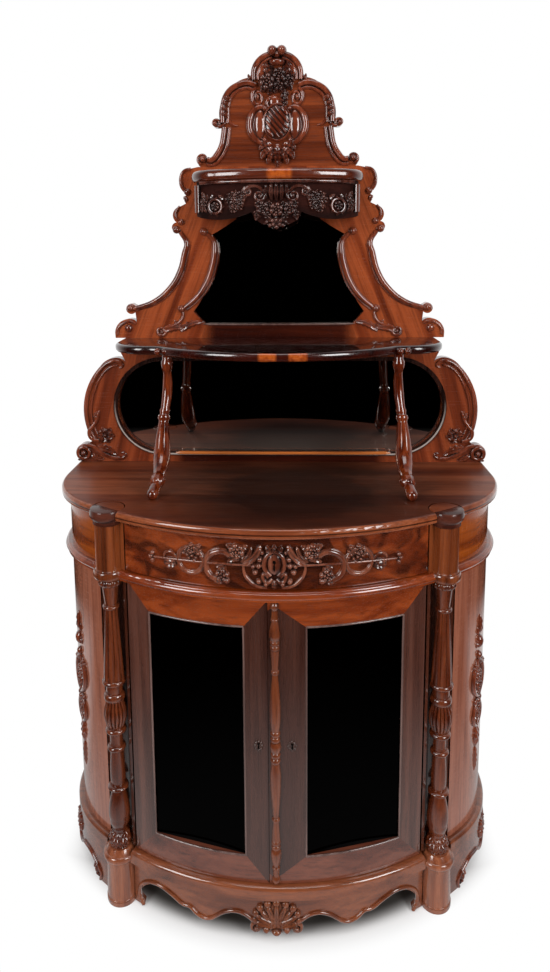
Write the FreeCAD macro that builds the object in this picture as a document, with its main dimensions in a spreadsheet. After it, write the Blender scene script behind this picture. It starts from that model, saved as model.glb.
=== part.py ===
"""A bow-fronted etagere cabinet: two doors and a drawer below, mirrored shelves and a crest above.

Millimetres. The origin is on the floor under the middle of the outline, +Z is up and the front
faces -Y. Every size is a cell of the sheet, and pieces that meet take their sizes from the same cells.
"""
import FreeCAD, Part
import math
import os
import Sketcher
from FreeCAD import Rotation, Vector

SIZES = {
    # Plan of the cabinet top: flat back, straight sides, round corners and a bowed front.
    "half_width": 567,
    "front_reach": 260,
    "back_reach": 260,
    "corner_radius": 277,
    "corner_centre": 123.5,
    "top_overhang": 20,
    # Heights, stacked from the floor.
    "plinth_height": 119,
    "base_height": 31,
    "opening_height": 705,
    "rail_height": 22,
    "frieze_height": 123,
    "top_thickness": 24,
    "lower_tier_height": 329,
    "middle_shelf_thickness": 22,
    "upper_tier_height": 457,
    "crest_height": 290,
    # Carcass boards and mouldings.
    "apron_thickness": 22,
    "side_apron_inset": 6,
    "shell_radius": 54,
    "shell_lobe_rise": 4,
    "shell_centre": 61,
    "base_reach": 15,
    "base_width": 55,
    "frieze_moulding_reach": 12,
    "moulding_round": 9,
    "panel_thickness": 18,
    "back_thickness": 14,
    "bottom_thickness": 20,
    "foot_width": 60,
    "foot_depth": 56,
    "rail_depth": 50,
    "shelf_height": 280,
    "shelf_thickness": 16,
    "shelf_front": 40,
    "bearer_width": 14,
    "bearer_height": 18,
    "pendant_rise": 120,
    "pendant_height": 435,
    "pendant_half": 40,
    "fit_gap": 0.2,
    # Columns with the plinth blocks, posts, frieze blocks and caps on the same axis.
    "column_x": 392.5,
    "column_inset": 13.5,
    "plinth_radius": 38,
    "plinth_cap_radius": 43,
    "post_inner": 40.5,
    "post_outer": 33,
    "post_inset": 24,
    "post_depth": 40,
    "niche_radius": 34,
    "frieze_block_radius": 30,
    "frieze_ring_radius": 35,
    "cap_radius": 41,
    "cap_rise": 3,
    "gadroon_height": 40,
    "gadroon_radius": 29,
    "pear_height": 92,
    "pear_radius": 26.5,
    "vase_height": 95,
    "vase_radius": 16.5,
    "ring_height": 18,
    "ring_radius": 26,
    "bulb_height": 70,
    "bulb_radius": 28,
    "neck_height": 40,
    "neck_radius": 15,
    "collar_radius": 29,
    # Doors.
    "hinge_gap": 5,
    "door_gap": 2,
    "meeting_line": 16,
    "meeting_gap": 1,
    "door_thickness": 24,
    "glass_outer": 292,
    "glass_inner": 70,
    "bottom_rail": 69,
    "top_rail": 63,
    "glass_thickness": 4,
    "glass_setback": 4,
    "glass_lap": 8,
    "bead_depth": 10,
    "pivot_inset": 10,
    "pivot_radius": 3,
    "pivot_depth": 12,
    "pivot_shoulder": 5.5,
    "running_clearance": 0.05,
    "keyhole_x": 38,
    "keyhole_height": 355,
    "escutcheon_radius": 9,
    "escutcheon_thickness": 1.5,
    "spindle_radius": 12.5,
    "spindle_bulb_height": 60,
    "spindle_ring_height": 10,
    # Locks and bolts.
    "lock_width": 60,
    "lock_height": 66,
    "lock_depth": 12,
    "bolt_thickness": 6,
    "bolt_width": 16,
    "bolt_length": 26,
    "bolt_throw": 8,
    "bolt_clearance": 0.4,
    "door_bolt_length": 90,
    "door_bolt_throw": 14,
    # Drawer.
    "drawer_side_gap": 3,
    "drawer_gap": 2,
    "drawer_front_thickness": 22,
    "drawer_side_thickness": 12,
    "drawer_side_setback": 7,
    "drawer_side_height": 106,
    "drawer_depth": 330,
    "drawer_bottom_thickness": 6,
    "drawer_bottom_rise": 8,
    "runner_width": 26,
    "slide_clearance": 0.3,
    "frieze_spread": 292,
    "frieze_rod": 6,
    "frieze_bud": 22,
    "frieze_scroll": 34,
    # Upper part.
    "board_thickness": 30,
    "lower_panel_reach": 547,
    "mirror_end_radius": 128,
    "mirror_end_x": 322,
    "mirror_height": 159,
    "mirror_lap": 8,
    "mirror_setback": 12,
    "mirror_thickness": 5,
    "mirror_back_thickness": 9,
    "mirror_bead_width": 11,
    "mirror_bead_depth": 6,
    "shelf_lobe_x": 330,
    "shelf_lobe_radius": 98,
    "shelf_lobe_depth": 75,
    "shelf_bow_depth": 290,
    "shelf_bow_half": 300,
    "support_x": 292,
    "support_shift": 13,
    "support_splay": 17,
    "support_radius": 19,
    "support_reach": 151,
    "upper_panel_reach": 450,
    "scroll_width": 11,
    "scroll_depth": 8,
    "top_shelf_half": 222,
    "top_shelf_depth": 157,
    "top_shelf_thickness": 28,
    "top_shelf_drop": 47,
    "shelf_apron_inset": 12,
    "shelf_apron_thickness": 12,
    "shelf_apron_height": 118,
    "crest_half": 205,
    "crest_thickness": 24,
    "carving_depth": 12,
    "crest_carving_depth": 16,
}

doc = FreeCAD.newDocument("EtagereCabinet")
sheet = doc.addObject("Spreadsheet::Sheet", "Sizes")
for row, (alias, number) in enumerate(SIZES.items(), 1):
    sheet.set("A%d" % row, alias)
    sheet.set("B%d" % row, str(number))
    sheet.setAlias("B%d" % row, alias)
doc.recompute()


class Size:
    """A length worked out from the sheet: its value now, and the expression that gives it."""

    def __init__(self, value, text):
        self.value = float(value)
        self.text = text

    def __float__(self):
        return self.value

    def __neg__(self):
        return Size(-self.value, "(-%s)" % self.text)

    def __add__(self, other):
        other = as_size(other)
        return Size(self.value + other.value, "(%s + %s)" % (self.text, other.text))

    def __sub__(self, other):
        other = as_size(other)
        return Size(self.value - other.value, "(%s - %s)" % (self.text, other.text))

    def __mul__(self, other):
        other = as_size(other)
        return Size(self.value * other.value, "(%s * %s)" % (self.text, other.text))

    def __truediv__(self, other):
        other = as_size(other)
        return Size(self.value / other.value, "(%s / %s)" % (self.text, other.text))

    __radd__ = __add__
    __rmul__ = __mul__

    def __rsub__(self, other):
        return as_size(other) - self


def as_size(number):
    return number if isinstance(number, Size) else Size(number, "%.9g" % number)


def root(size):
    return Size(math.sqrt(size.value), "sqrt(%s)" % size.text)


def slope_angle(rise, run):
    return Size(math.degrees(math.atan(rise.value / run.value)), "atan(%s / %s)" % (rise.text, run.text))


class Dimensions:
    """The cells of the sheet, read by name."""

    def __getattr__(self, alias):
        return Size(sheet.get(alias), "Sizes." + alias)


d = Dimensions()
parts = []


def bind(item, path, size):
    """Tie a property to the sheet."""
    item.setExpression(path, as_size(size).text)


def keep(item, label):
    """Name a finished sub-part, which is then written under its label."""
    item.Label = label
    parts.append(item)
    return item


# Plan of the cabinet
# Every curved piece lies parallel to the rim of the top, at an inset from it.

side_x = d.half_width - d.corner_radius
reach = d.corner_centre + d.front_reach
bow_radius = (side_x * side_x + reach * reach - d.corner_radius * d.corner_radius) / (
    (reach - d.corner_radius) * 2)
bow_centre = bow_radius - d.front_reach
tangent_x = side_x / (bow_radius - d.corner_radius)
tangent_y = (bow_centre - d.corner_centre) / (bow_radius - d.corner_radius)
face = d.top_overhang


def bow_y(inset, x):
    """Where the bowed front lies at x, for a surface at that inset."""
    radius = bow_radius - inset
    return bow_centre - root(radius * radius - as_size(x) * x)


def tangent_point(inset):
    """Where the bow runs into the round corner."""
    radius = bow_radius - inset
    return radius * tangent_x, bow_centre - radius * tangent_y


def corner_middle(inset):
    """The middle of the round corner."""
    radius = (d.corner_radius - inset) / root((tangent_x + 1) * 2)
    return side_x + radius * (tangent_x + 1), d.corner_centre - radius * tangent_y


def inset_at(point):
    """How far inside the rim a point lies."""
    across = abs(point.x) - side_x.value
    behind = point.y - d.corner_centre.value
    if behind > 0:
        return d.half_width.value - abs(point.x)
    if -behind * tangent_x.value < across * tangent_y.value:
        return d.corner_radius.value - math.hypot(across, behind)
    return bow_radius.value - math.hypot(point.x, point.y - bow_centre.value)


# Heights

z_base = d.plinth_height
z_floor = z_base + d.base_height
z_rail = z_floor + d.opening_height
z_drawer = z_rail + d.rail_height
z_top = z_drawer + d.frieze_height
z_table = z_top + d.top_thickness
z_shelf = z_table + d.lower_tier_height
z_upper = z_shelf + d.middle_shelf_thickness
z_crest = z_upper + d.upper_tier_height
y_back = d.back_reach - d.back_thickness
y_board = d.back_reach - d.board_thickness
column_y = bow_y(d.column_inset, d.column_x)
sides = (("left", -1), ("right", 1))


# Drawing helpers

class Outline:
    """A closed outline in a sketch: each corner, and a point on each arc, is dimensioned."""

    def __init__(self, sketch, x, y):
        self.sketch = sketch
        self.corners = [(as_size(x), as_size(y))]
        self.vias = []

    def line(self, x, y):
        self.corners.append((as_size(x), as_size(y)))
        self.vias.append(None)
        return self

    def arc(self, via_x, via_y, x, y):
        self.corners.append((as_size(x), as_size(y)))
        self.vias.append((as_size(via_x), as_size(via_y)))
        return self

    def mirror(self):
        """Repeat the half drawn so far, from axis to axis, on the other side of the axis."""
        for index in range(len(self.vias) - 1, 0, -1):
            x, y = self.corners[index]
            self.corners.append((-x, y))
            self.vias.append(self.vias[index] and (-self.vias[index][0], self.vias[index][1]))
        self.vias.append(self.vias[0] and (-self.vias[0][0], self.vias[0][1]))
        return self

    def close(self, *via):
        """Draw the outline, coming home along a line or, through a given point, along an arc."""
        if len(self.vias) < len(self.corners):
            self.vias.append(tuple(as_size(number) for number in via) or None)
        count = len(self.corners)
        first = self.sketch.GeometryCount
        edges = []
        ends = []
        for index in range(count):
            start, via, end = self.corners[index], self.vias[index], self.corners[(index + 1) % count]
            edge, order = edge_through(start, via, end)
            edges.append(edge)
            ends.append(order)
        self.sketch.addGeometry(edges, False)
        rules = []
        sizes = []
        for index in range(count):
            following = (index + 1) % count
            rules.append(Sketcher.Constraint(
                "Coincident", first + index, ends[index][1], first + following, ends[following][0]))
            dimension(rules, sizes, first + index, ends[index][0], self.corners[index])
        point = first + count
        for index, via in enumerate(self.vias):
            if via:
                self.sketch.addGeometry([Part.Point(Vector(via[0].value, via[1].value, 0))], True)
                dimension(rules, sizes, point, 1, via)
                rules.append(Sketcher.Constraint("PointOnObject", point, 1, first + index))
                point += 1
        add_rules(self.sketch, rules, sizes)


def dimension(rules, sizes, geometry, position, point):
    for axis, size in zip(("DistanceX", "DistanceY"), point):
        sizes.append((len(rules), size))
        rules.append(Sketcher.Constraint(axis, geometry, position, size.value))


def add_rules(sketch, rules, sizes):
    first = sketch.ConstraintCount
    sketch.addConstraint(rules)
    for index, size in sizes:
        bind(sketch, "Constraints[%d]" % (first + index), size)


def add_circle(sketch, x, y, radius):
    centre = (as_size(x), as_size(y))
    circle = Part.Circle(Vector(centre[0].value, centre[1].value, 0), Vector(0, 0, 1), radius.value)
    sketch.addGeometry([circle], False)
    rules = []
    sizes = []
    dimension(rules, sizes, 0, 3, centre)
    sizes.append((len(rules), radius))
    rules.append(Sketcher.Constraint("Radius", 0, radius.value))
    add_rules(sketch, rules, sizes)


def edge_through(start, via, end):
    """A line, or an arc drawn anticlockwise, with the positions of its two ends."""
    a, c = Vector(start[0].value, start[1].value, 0), Vector(end[0].value, end[1].value, 0)
    if not via:
        return Part.LineSegment(a, c), (1, 2)
    b = Vector(via[0].value, via[1].value, 0)
    anticlockwise = (b - a).cross(c - b).z > 0
    centre = Part.Circle(a, b, c).Center
    first, last = (a, c) if anticlockwise else (c, a)
    begin = math.atan2(first.y - centre.y, first.x - centre.x)
    finish = math.atan2(last.y - centre.y, last.x - centre.x)
    if finish < begin:
        finish += 2 * math.pi
    circle = Part.Circle(centre, Vector(0, 0, 1), centre.distanceToPoint(a))
    return Part.ArcOfCircle(circle, begin, finish), (1, 2) if anticlockwise else (2, 1)


def new_body(name):
    return doc.addObject("PartDesign::Body", name)


def sketch_on(body, role, offset=0):
    """A sketch on one of the body's own planes, moved along the plane's normal."""
    sketch = body.newObject("Sketcher::SketchObject", body.Name + "_sketch")
    plane = next(item for item in body.Origin.OriginFeatures if item.Role == role)
    sketch.AttachmentSupport = [(plane, "")]
    sketch.MapMode = "FlatFace"
    bind(sketch, ".AttachmentOffset.Base.z", offset)
    return sketch


def level(body, z):
    return sketch_on(body, "XY_Plane", z)


def upright(body, y):
    """A sketch of x and z on the plane at y, whose pads grow towards the front."""
    return sketch_on(body, "XZ_Plane", -as_size(y))


def pad(body, sketch, length):
    feature = body.newObject("PartDesign::Pad", body.Name + "_pad")
    feature.Profile = sketch
    bind(feature, "Length", length)
    return feature


def cut_through(body, sketch):
    """Cut the sketch through the whole body, both ways."""
    doc.recompute()
    before = body.Shape.Volume
    feature = body.newObject("PartDesign::Pocket", body.Name + "_cut")
    feature.Profile = sketch
    feature.Type = "ThroughAll"
    feature.SideType = "Symmetric"
    doc.recompute()
    if body.Shape.Volume > before - 1:
        raise RuntimeError("the cut missed " + body.Name)
    return feature


def recess(body, sketch, depth):
    """Cut the sketch into the back of the body, towards the front."""
    doc.recompute()
    before = body.Shape.Volume
    feature = body.newObject("PartDesign::Pocket", body.Name + "_recess")
    feature.Profile = sketch
    feature.Reversed = True
    bind(feature, "Length", depth)
    doc.recompute()
    if body.Shape.Volume > before - 1:
        raise RuntimeError("the recess missed " + body.Name)
    return feature


def round_edges(body, radius, wanted):
    doc.recompute()
    tip = body.Tip
    names = ["Edge%d" % number for number, edge in enumerate(tip.Shape.Edges, 1) if wanted(edge)]
    feature = body.newObject("PartDesign::Fillet", body.Name + "_round")
    feature.Base = (tip, names)
    bind(feature, "Radius", radius)
    return feature


def along_rim(inset, z):
    """Tells the edges that run along the surface at that inset, at height z."""
    def wanted(edge):
        middle = edge.valueAt((edge.FirstParameter + edge.LastParameter) / 2)
        flat = max(abs(vertex.Z - z.value) for vertex in edge.Vertexes) < 1e-4
        return flat and abs(inset_at(middle) - as_size(inset).value) < 1e-3
    return wanted


def place(item, x, y, z):
    bind(item, ".Placement.Base.x", x)
    bind(item, ".Placement.Base.y", y)
    bind(item, ".Placement.Base.z", z)
    return item


def box(name, x, y, z):
    """A box from pairs of lower and upper bounds."""
    item = doc.addObject("Part::Box", name)
    bind(item, "Length", as_size(x[1]) - x[0])
    bind(item, "Width", as_size(y[1]) - y[0])
    bind(item, "Height", as_size(z[1]) - z[0])
    return place(item, x[0], y[0], z[0])


def cylinder(name, x, y, z, radius):
    """An upright cylinder between two heights."""
    item = doc.addObject("Part::Cylinder", name)
    bind(item, "Radius", radius)
    bind(item, "Height", as_size(z[1]) - z[0])
    return place(item, x, y, z[0])


def boss(name, x, z, radius, y):
    """A cylinder that points to the front, between two values of y."""
    item = doc.addObject("Part::Cylinder", name)
    item.Placement.Rotation = Rotation(Vector(1, 0, 0), 90)
    bind(item, "Radius", radius)
    bind(item, "Height", as_size(y[1]) - y[0])
    return place(item, x, y[1], z)


def dome(name, x, z, y, half_x, half_y, half_z):
    item = doc.addObject("Part::Ellipsoid", name)
    item.Angle1 = -90
    item.Angle2 = 90
    item.Angle3 = 360
    bind(item, "Radius1", half_z)
    bind(item, "Radius2", half_x)
    bind(item, "Radius3", half_y)
    return place(item, x, y, z)


def cut(name, base, *tools):
    for tool in tools:
        item = doc.addObject("Part::Cut", name)
        item.Base = base
        item.Tool = tool
        base = item
    return base


def common(name, base, tool):
    item = doc.addObject("Part::Common", name)
    item.Base = base
    item.Tool = tool
    return item


def group(name, items):
    """Several solids in one sub-part."""
    item = doc.addObject("Part::Compound", name)
    item.Links = items
    return item


def fuse(name, items):
    item = doc.addObject("Part::MultiFuse", name)
    item.Shapes = items
    return item


def behind_bow(inset):
    """Everything behind the bowed surface at that inset, as a tool."""
    return cylinder("behind_bow", 0, bow_centre, (0, z_table), bow_radius - inset)


def column_cylinder(radius, z):
    """The round tools on the two column axes."""
    return [cylinder("round_" + side, d.column_x * sign, column_y, z, radius) for side, sign in sides]


def front_shell(body, insets, x, z):
    """A bowed board between two insets, from one x to another, z high."""
    outer, inner = insets
    start, end = as_size(x[0]), as_size(x[1])
    middle = (start + end) / 2
    sketch = level(body, z[0])
    outline = Outline(sketch, start, bow_y(outer, start))
    outline.arc(middle, bow_y(outer, middle), end, bow_y(outer, end))
    outline.line(end, bow_y(inner, end))
    outline.arc(middle, bow_y(inner, middle), start, bow_y(inner, start))
    outline.close()
    return pad(body, sketch, as_size(z[1]) - z[0])


def side_shell(body, sign, insets, x, y_end, z):
    """A bent board along one side of the cabinet, from x on the bow to y_end on the straight."""
    sketch = level(body, z[0])
    (outer_x, outer_y), (inner_x, inner_y) = [tangent_point(inset) for inset in insets]
    (outer_mx, outer_my), (inner_mx, inner_my) = [corner_middle(inset) for inset in insets]
    outer, inner = insets
    outer_half, inner_half = (outer_x + x) / 2, (inner_x + x) / 2
    outline = Outline(sketch, x * sign, bow_y(outer, x))
    outline.arc(outer_half * sign, bow_y(outer, outer_half), outer_x * sign, outer_y)
    outline.arc(outer_mx * sign, outer_my, (d.half_width - outer) * sign, d.corner_centre)
    outline.line((d.half_width - outer) * sign, y_end)
    outline.line((d.half_width - inner) * sign, y_end)
    outline.line((d.half_width - inner) * sign, d.corner_centre)
    outline.arc(inner_mx * sign, inner_my, inner_x * sign, inner_y)
    outline.arc(inner_half * sign, bow_y(inner, inner_half), x * sign, bow_y(inner, x))
    outline.close()
    return pad(body, sketch, as_size(z[1]) - z[0])


def plan_board(body, inset, y_end, z):
    """A board of the cabinet's whole plan at an inset."""
    sketch = level(body, z[0])
    half = d.half_width - inset
    tx, ty = tangent_point(inset)
    mx, my = corner_middle(inset)
    outline = Outline(sketch, -half, y_end)
    outline.line(-half, d.corner_centre)
    outline.arc(-mx, my, -tx, ty)
    outline.arc(0, inset - d.front_reach, tx, ty)
    outline.arc(mx, my, half, d.corner_centre)
    outline.line(half, y_end)
    outline.close()
    return pad(body, sketch, as_size(z[1]) - z[0])


# Turned members, each given as height, lower radius, upper radius and the widest point of its curve

def straight(height, lower, upper):
    return height, lower, upper, None


def bead(height, radius):
    end = radius - height * 0.4
    return height, end, end, (radius, 0.5)


def belly(height, lower, widest, at, upper):
    return height, lower, upper, (widest, at)


def turned(name, members, x, y, z):
    """A turned piece from its members, from the bottom up."""
    body = new_body(name)
    sketch = upright(body, 0)
    outline = Outline(sketch, 0, 0)
    height = as_size(0)
    radius = as_size(0)
    for rise, lower, upper, bulge in members:
        lower, upper = as_size(lower), as_size(upper)
        if abs(lower.value - radius.value) > 1e-6:
            outline.line(lower, height)
        if bulge:
            outline.arc(bulge[0], height + rise * bulge[1], upper, height + rise)
        else:
            outline.line(upper, height + rise)
        height = height + rise
        radius = upper
    outline.line(0, height)
    outline.close()
    feature = body.newObject("PartDesign::Revolution", name + "_turning")
    feature.Profile = sketch
    feature.ReferenceAxis = (sketch, ["V_Axis"])
    feature.Angle = 360
    return place(body, x, y, z)


# The doors' hinge edges and the axes on which they turn

post_x = (d.column_x - d.post_inner, d.column_x + d.post_outer)
hinge_edge = post_x[0] - d.hinge_gap
pivot_x = hinge_edge - d.pivot_inset
pivot_y = bow_y(face + d.door_thickness / 2, pivot_x)


def pivot_bores(z):
    """The holes that the pivot pins are driven into."""
    return group("pivot_holes", [cylinder("pivot_hole", pivot_x * sign, pivot_y, z, d.pivot_radius)
                                 for side, sign in sides])


# Plinth blocks: round drums with a moulded cap, under the columns

for side, sign in sides:
    members = [
        straight(z_base, d.plinth_radius, d.plinth_radius),
        bead(d.base_height * 0.6, d.plinth_cap_radius),
        straight(d.base_height * 0.4, d.plinth_cap_radius - 5, d.gadroon_radius + 1),
    ]
    keep(turned("plinth", members, d.column_x * sign, column_y, 0), "plinth_block_" + side)

# Front apron: a bowed board with a cyma lower edge between the plinth blocks

apron_x = (d.column_x - d.plinth_radius) / 350
apron_z = d.plinth_height / 119
front_apron = new_body("front_apron_board")
apron_half = d.column_x - d.plinth_radius / 2
front_shell(front_apron, (face, face + d.apron_thickness), (-apron_half, apron_half), (0, z_base))
edge = Outline(upright(front_apron, 0), 0, -d.base_height)
edge.line(327 * apron_x, -d.base_height)
edge.line(327 * apron_x, 0)
edge.arc(340 * apron_x, 9 * apron_z, 338 * apron_x, 35 * apron_z)
edge.arc(290 * apron_x, 77 * apron_z, 222 * apron_x, 51 * apron_z)
edge.line(207 * apron_x, 51 * apron_z)
edge.arc(171 * apron_x, 31 * apron_z, 141 * apron_x, 46 * apron_z)
edge.arc(95 * apron_x, 67 * apron_z, 50 * apron_x, 42 * apron_z)
edge.line(0, 34 * apron_z)
edge.mirror().close()
cut_through(front_apron, edge.sketch)
keep(cut("apron_cut", front_apron, *column_cylinder(d.plinth_radius, (0, z_base))), "front_apron")

# Side aprons: bent boards from the plinth block to the rear foot, with one drop between two arches

apron_front = column_y + d.plinth_radius
apron_end = y_back - d.foot_depth
apron_run = apron_end - apron_front
side_apron_insets = (d.side_apron_inset, d.side_apron_inset + d.apron_thickness)
for side, sign in sides:
    apron = new_body("side_apron_board")
    side_shell(apron, sign, side_apron_insets, d.column_x, y_back, (0, z_base))
    edge = Outline(sketch_on(apron, "YZ_Plane"), apron_front + apron_run * 0.02, -d.base_height)
    edge.line(apron_front + apron_run * 0.02, 0)
    edge.arc(apron_front, 20 * apron_z, apron_front + apron_run * 0.05, 42 * apron_z)
    edge.arc(apron_front + apron_run * 0.12, 56 * apron_z, apron_front + apron_run * 0.24, 50 * apron_z)
    edge.arc(apron_front + apron_run * 0.36, 30 * apron_z, apron_front + apron_run * 0.48, 50 * apron_z)
    edge.arc(apron_front + apron_run * 0.75, 76 * apron_z, apron_end, 30 * apron_z)
    edge.line(apron_end, -d.base_height)
    edge.close()
    cut_through(apron, edge.sketch)
    drum = cylinder("drum", d.column_x * sign, column_y, (0, z_base), d.plinth_radius)
    keep(cut("apron_cut", apron, drum), "side_apron_" + side)

# Scallop shell carved on the middle of the front apron: lobes round a fan, and a drop below

lobes = 9
lowest_turn = -20
lobe_turn = (180 - 2 * lowest_turn) / lobes


def on_fan(radius, lobe):
    """A point of the fan, at so many lobes from its right-hand end."""
    turn = math.radians(lowest_turn + lobe_turn * lobe)
    return radius * math.cos(turn), d.shell_centre + radius * math.sin(turn)


shell = new_body("shell_fan")
drop = (d.shell_radius * 0.65, d.shell_centre - d.shell_radius * 0.88)
fan = Outline(upright(shell, 0), 0, d.shell_centre - d.shell_radius)
fan.arc(*drop, *on_fan(d.shell_radius, 0))
for lobe in range(1, lobes + 1):
    fan.arc(*on_fan(d.shell_radius + d.shell_lobe_rise, lobe - 0.5), *on_fan(d.shell_radius, lobe))
fan.close(-drop[0], drop[1])
pad(shell, fan.sketch, d.front_reach)
shell_skin = new_body("shell_skin")
front_shell(shell_skin, (face - d.carving_depth, face), (-d.column_x, d.column_x), (0, z_base))
keep(common("shell", shell, shell_skin), "apron_shell")

# Base moulding: three lengths on the aprons, which carry the carcass

base_inset = face - d.base_reach
base_insets = (base_inset, base_inset + d.base_width)
front_base = new_body("front_base")
front_shell(front_base, base_insets, (-d.column_x, d.column_x), (z_base, z_floor))
round_edges(front_base, d.moulding_round, along_rim(base_inset, z_floor))
base_lengths = [front_base]
for side, sign in sides:
    length = new_body("side_base")
    side_shell(length, sign, base_insets, d.column_x, y_back, (z_base, z_floor))
    round_edges(length, d.moulding_round, along_rim(base_inset, z_floor))
    base_lengths.append(length)
caps = group("plinth_caps", column_cylinder(d.plinth_cap_radius, (z_base, z_floor)))
lower_pivots = pivot_bores((z_floor - d.pivot_depth, z_floor))
keep(cut("base_cut", group("base_lengths", base_lengths), caps, lower_pivots), "base_moulding")

# Rear feet: blocks inside the back ends of the side aprons

foot_x = d.half_width - side_apron_insets[1]
rear_feet = [
    box("rear_foot", (foot_x - d.foot_width, foot_x), (y_back - d.foot_depth, y_back), (0, z_base)),
    box("rear_foot", (-foot_x, d.foot_width - foot_x), (y_back - d.foot_depth, y_back), (0, z_base)),
]
keep(group("feet", rear_feet), "rear_feet")

# Bottom board: inside the base moulding

bottom = new_body("bottom")
plan_board(bottom, base_inset + d.base_width + d.fit_gap, y_back, (z_floor - d.bottom_thickness, z_floor))
keep(bottom, "bottom_board")

# Side panels: bent boards from the corner posts to the back

panel_insets = (face, face + d.panel_thickness)
post_end = d.column_x + d.post_outer
for side, sign in sides:
    panel = new_body("panel")
    side_shell(panel, sign, panel_insets, post_end, y_back, (z_floor, z_top))
    keep(panel, "side_panel_" + side)

# Corner posts: hollowed for the columns that stand in front of them

post_insets = (d.post_inset, d.post_inset + d.post_depth)
for side, sign in sides:
    post = new_body("post")
    front_shell(post, post_insets, sorted((post_x[0] * sign, post_x[1] * sign), key=float), (z_floor, z_rail))
    niche = cylinder("niche", d.column_x * sign, column_y, (z_floor, z_rail), d.niche_radius)
    keep(cut("post_cut", post, niche), "corner_post_" + side)

# Cabinet back

back_half = d.half_width - face
keep(box("back", (-back_half, back_half), (y_back, d.back_reach), (z_base, z_top)), "cabinet_back")

# Columns: turned, standing on the plinth blocks and carrying the frieze blocks

small_ring = d.ring_height * 0.75
column_fixed = [
    d.gadroon_height, d.neck_height * 0.4, d.pear_height, small_ring, d.vase_height, d.ring_height,
    d.neck_height * 0.7, d.ring_height, d.bulb_height, d.ring_height, d.neck_height * 0.4, d.ring_height,
    small_ring, d.neck_height, d.ring_height,
]
shaft_height = d.opening_height - sum(column_fixed[1:], column_fixed[0])
column_members = [
    belly(d.gadroon_height, d.gadroon_radius - 4, d.gadroon_radius, 0.45, d.neck_radius + 4),
    straight(d.neck_height * 0.4, d.neck_radius + 3, d.neck_radius + 3),
    belly(d.pear_height, d.neck_radius + 4, d.pear_radius, 0.35, d.neck_radius),
    bead(small_ring, d.pear_radius),
    straight(d.vase_height, d.vase_radius, d.vase_radius - 1),
    bead(d.ring_height, d.ring_radius - 3),
    straight(d.neck_height * 0.7, d.vase_radius, d.vase_radius),
    bead(d.ring_height, d.ring_radius),
    belly(d.bulb_height, d.ring_radius - 5, d.bulb_radius, 0.5, d.ring_radius - 5),
    bead(d.ring_height, d.ring_radius),
    straight(d.neck_height * 0.4, d.vase_radius, d.vase_radius),
    bead(d.ring_height, d.bulb_radius),
    straight(shaft_height, d.bulb_radius - 1, d.neck_radius),
    bead(small_ring, d.neck_radius + 5),
    straight(d.neck_height, d.neck_radius, d.neck_radius),
    bead(d.ring_height, d.collar_radius),
]
for side, sign in sides:
    keep(turned("column", column_members, d.column_x * sign, column_y, z_floor), "column_" + side)

# Frieze blocks: a half-round pilaster with a ring below, on a corner block

for side, sign in sides:
    block = new_body("frieze_block")
    block_x = sorted((post_x[0] * sign, post_x[1] * sign), key=float)
    front_shell(block, (face, d.post_inset + d.post_depth), block_x, (z_rail, z_top))
    for radius, z_end in ((d.frieze_block_radius, z_top), (d.frieze_ring_radius, z_drawer)):
        sketch = level(block, z_rail)
        add_circle(sketch, d.column_x * sign, column_y, radius)
        pad(block, sketch, z_end - z_rail)
    keep(block, "frieze_block_" + side)

# Frieze moulding: three lengths under the drawer and round the sides, between the rings

moulding_inset = face - d.frieze_moulding_reach
moulding_round = d.moulding_round * 0.6
front_length = new_body("front_moulding")
front_shell(front_length, (moulding_inset, face), (-d.column_x, d.column_x), (z_rail, z_drawer))
round_edges(front_length, moulding_round, along_rim(moulding_inset, z_drawer))
moulding_lengths = [front_length]
for side, sign in sides:
    length = new_body("side_moulding")
    side_shell(length, sign, (moulding_inset, face), d.column_x, y_back, (z_rail, z_drawer))
    round_edges(length, moulding_round, along_rim(moulding_inset, z_drawer))
    moulding_lengths.append(length)
rings = group("frieze_rings", column_cylinder(d.frieze_ring_radius, (z_rail, z_drawer)))
keep(cut("moulding_cut", group("moulding_lengths", moulding_lengths), rings), "frieze_moulding")

# Drawer rail: between the frieze blocks, with a mortise for the bolt of the left door

door_back = face + d.door_thickness
left_bolt_x = -d.keyhole_x
left_bolt_y = bow_y(door_back, left_bolt_x) + d.bolt_thickness * 0.5
bolt_half = d.bolt_width / 2
left_bolt_bounds = (left_bolt_x - bolt_half, left_bolt_x + bolt_half)


def wider(bounds, clearance):
    return bounds[0] - clearance, bounds[1] + clearance


rail = new_body("rail")
front_shell(rail, (face, face + d.rail_depth), (-post_x[0], post_x[0]), (z_rail, z_drawer))
left_bolt_depth = (left_bolt_y, left_bolt_y + d.bolt_thickness)
rail_mortise = box("rail_mortise", wider(left_bolt_bounds, d.bolt_clearance),
                   wider(left_bolt_depth, d.bolt_clearance), (z_rail, z_rail + d.door_bolt_throw))
rail_rings = group("rail_rings", column_cylinder(d.frieze_ring_radius, (z_rail, z_drawer)))
upper_pivots = pivot_bores((z_rail, z_rail + d.pivot_depth))
keep(cut("rail_cut", rail, rail_rings, rail_mortise, upper_pivots), "drawer_rail")

# Drawer runners: under the drawer sides, from the rail to the back

drawer_half = post_x[0] - d.drawer_side_gap
side_outer = drawer_half - d.drawer_side_setback
side_inner = side_outer - d.drawer_side_thickness
runner_centre = (side_outer + side_inner) / 2
runners = []
for side, sign in sides:
    centre = runner_centre * sign
    bounds = (centre - d.runner_width / 2, centre + d.runner_width / 2)
    runners.append(box("runner", bounds, (-d.front_reach, y_back), (z_rail, z_drawer)))
keep(common("runner_ends", group("runner_pair", runners), behind_bow(face + d.rail_depth)), "drawer_runners")

# Interior shelf, on bearers that follow the side panels

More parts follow.
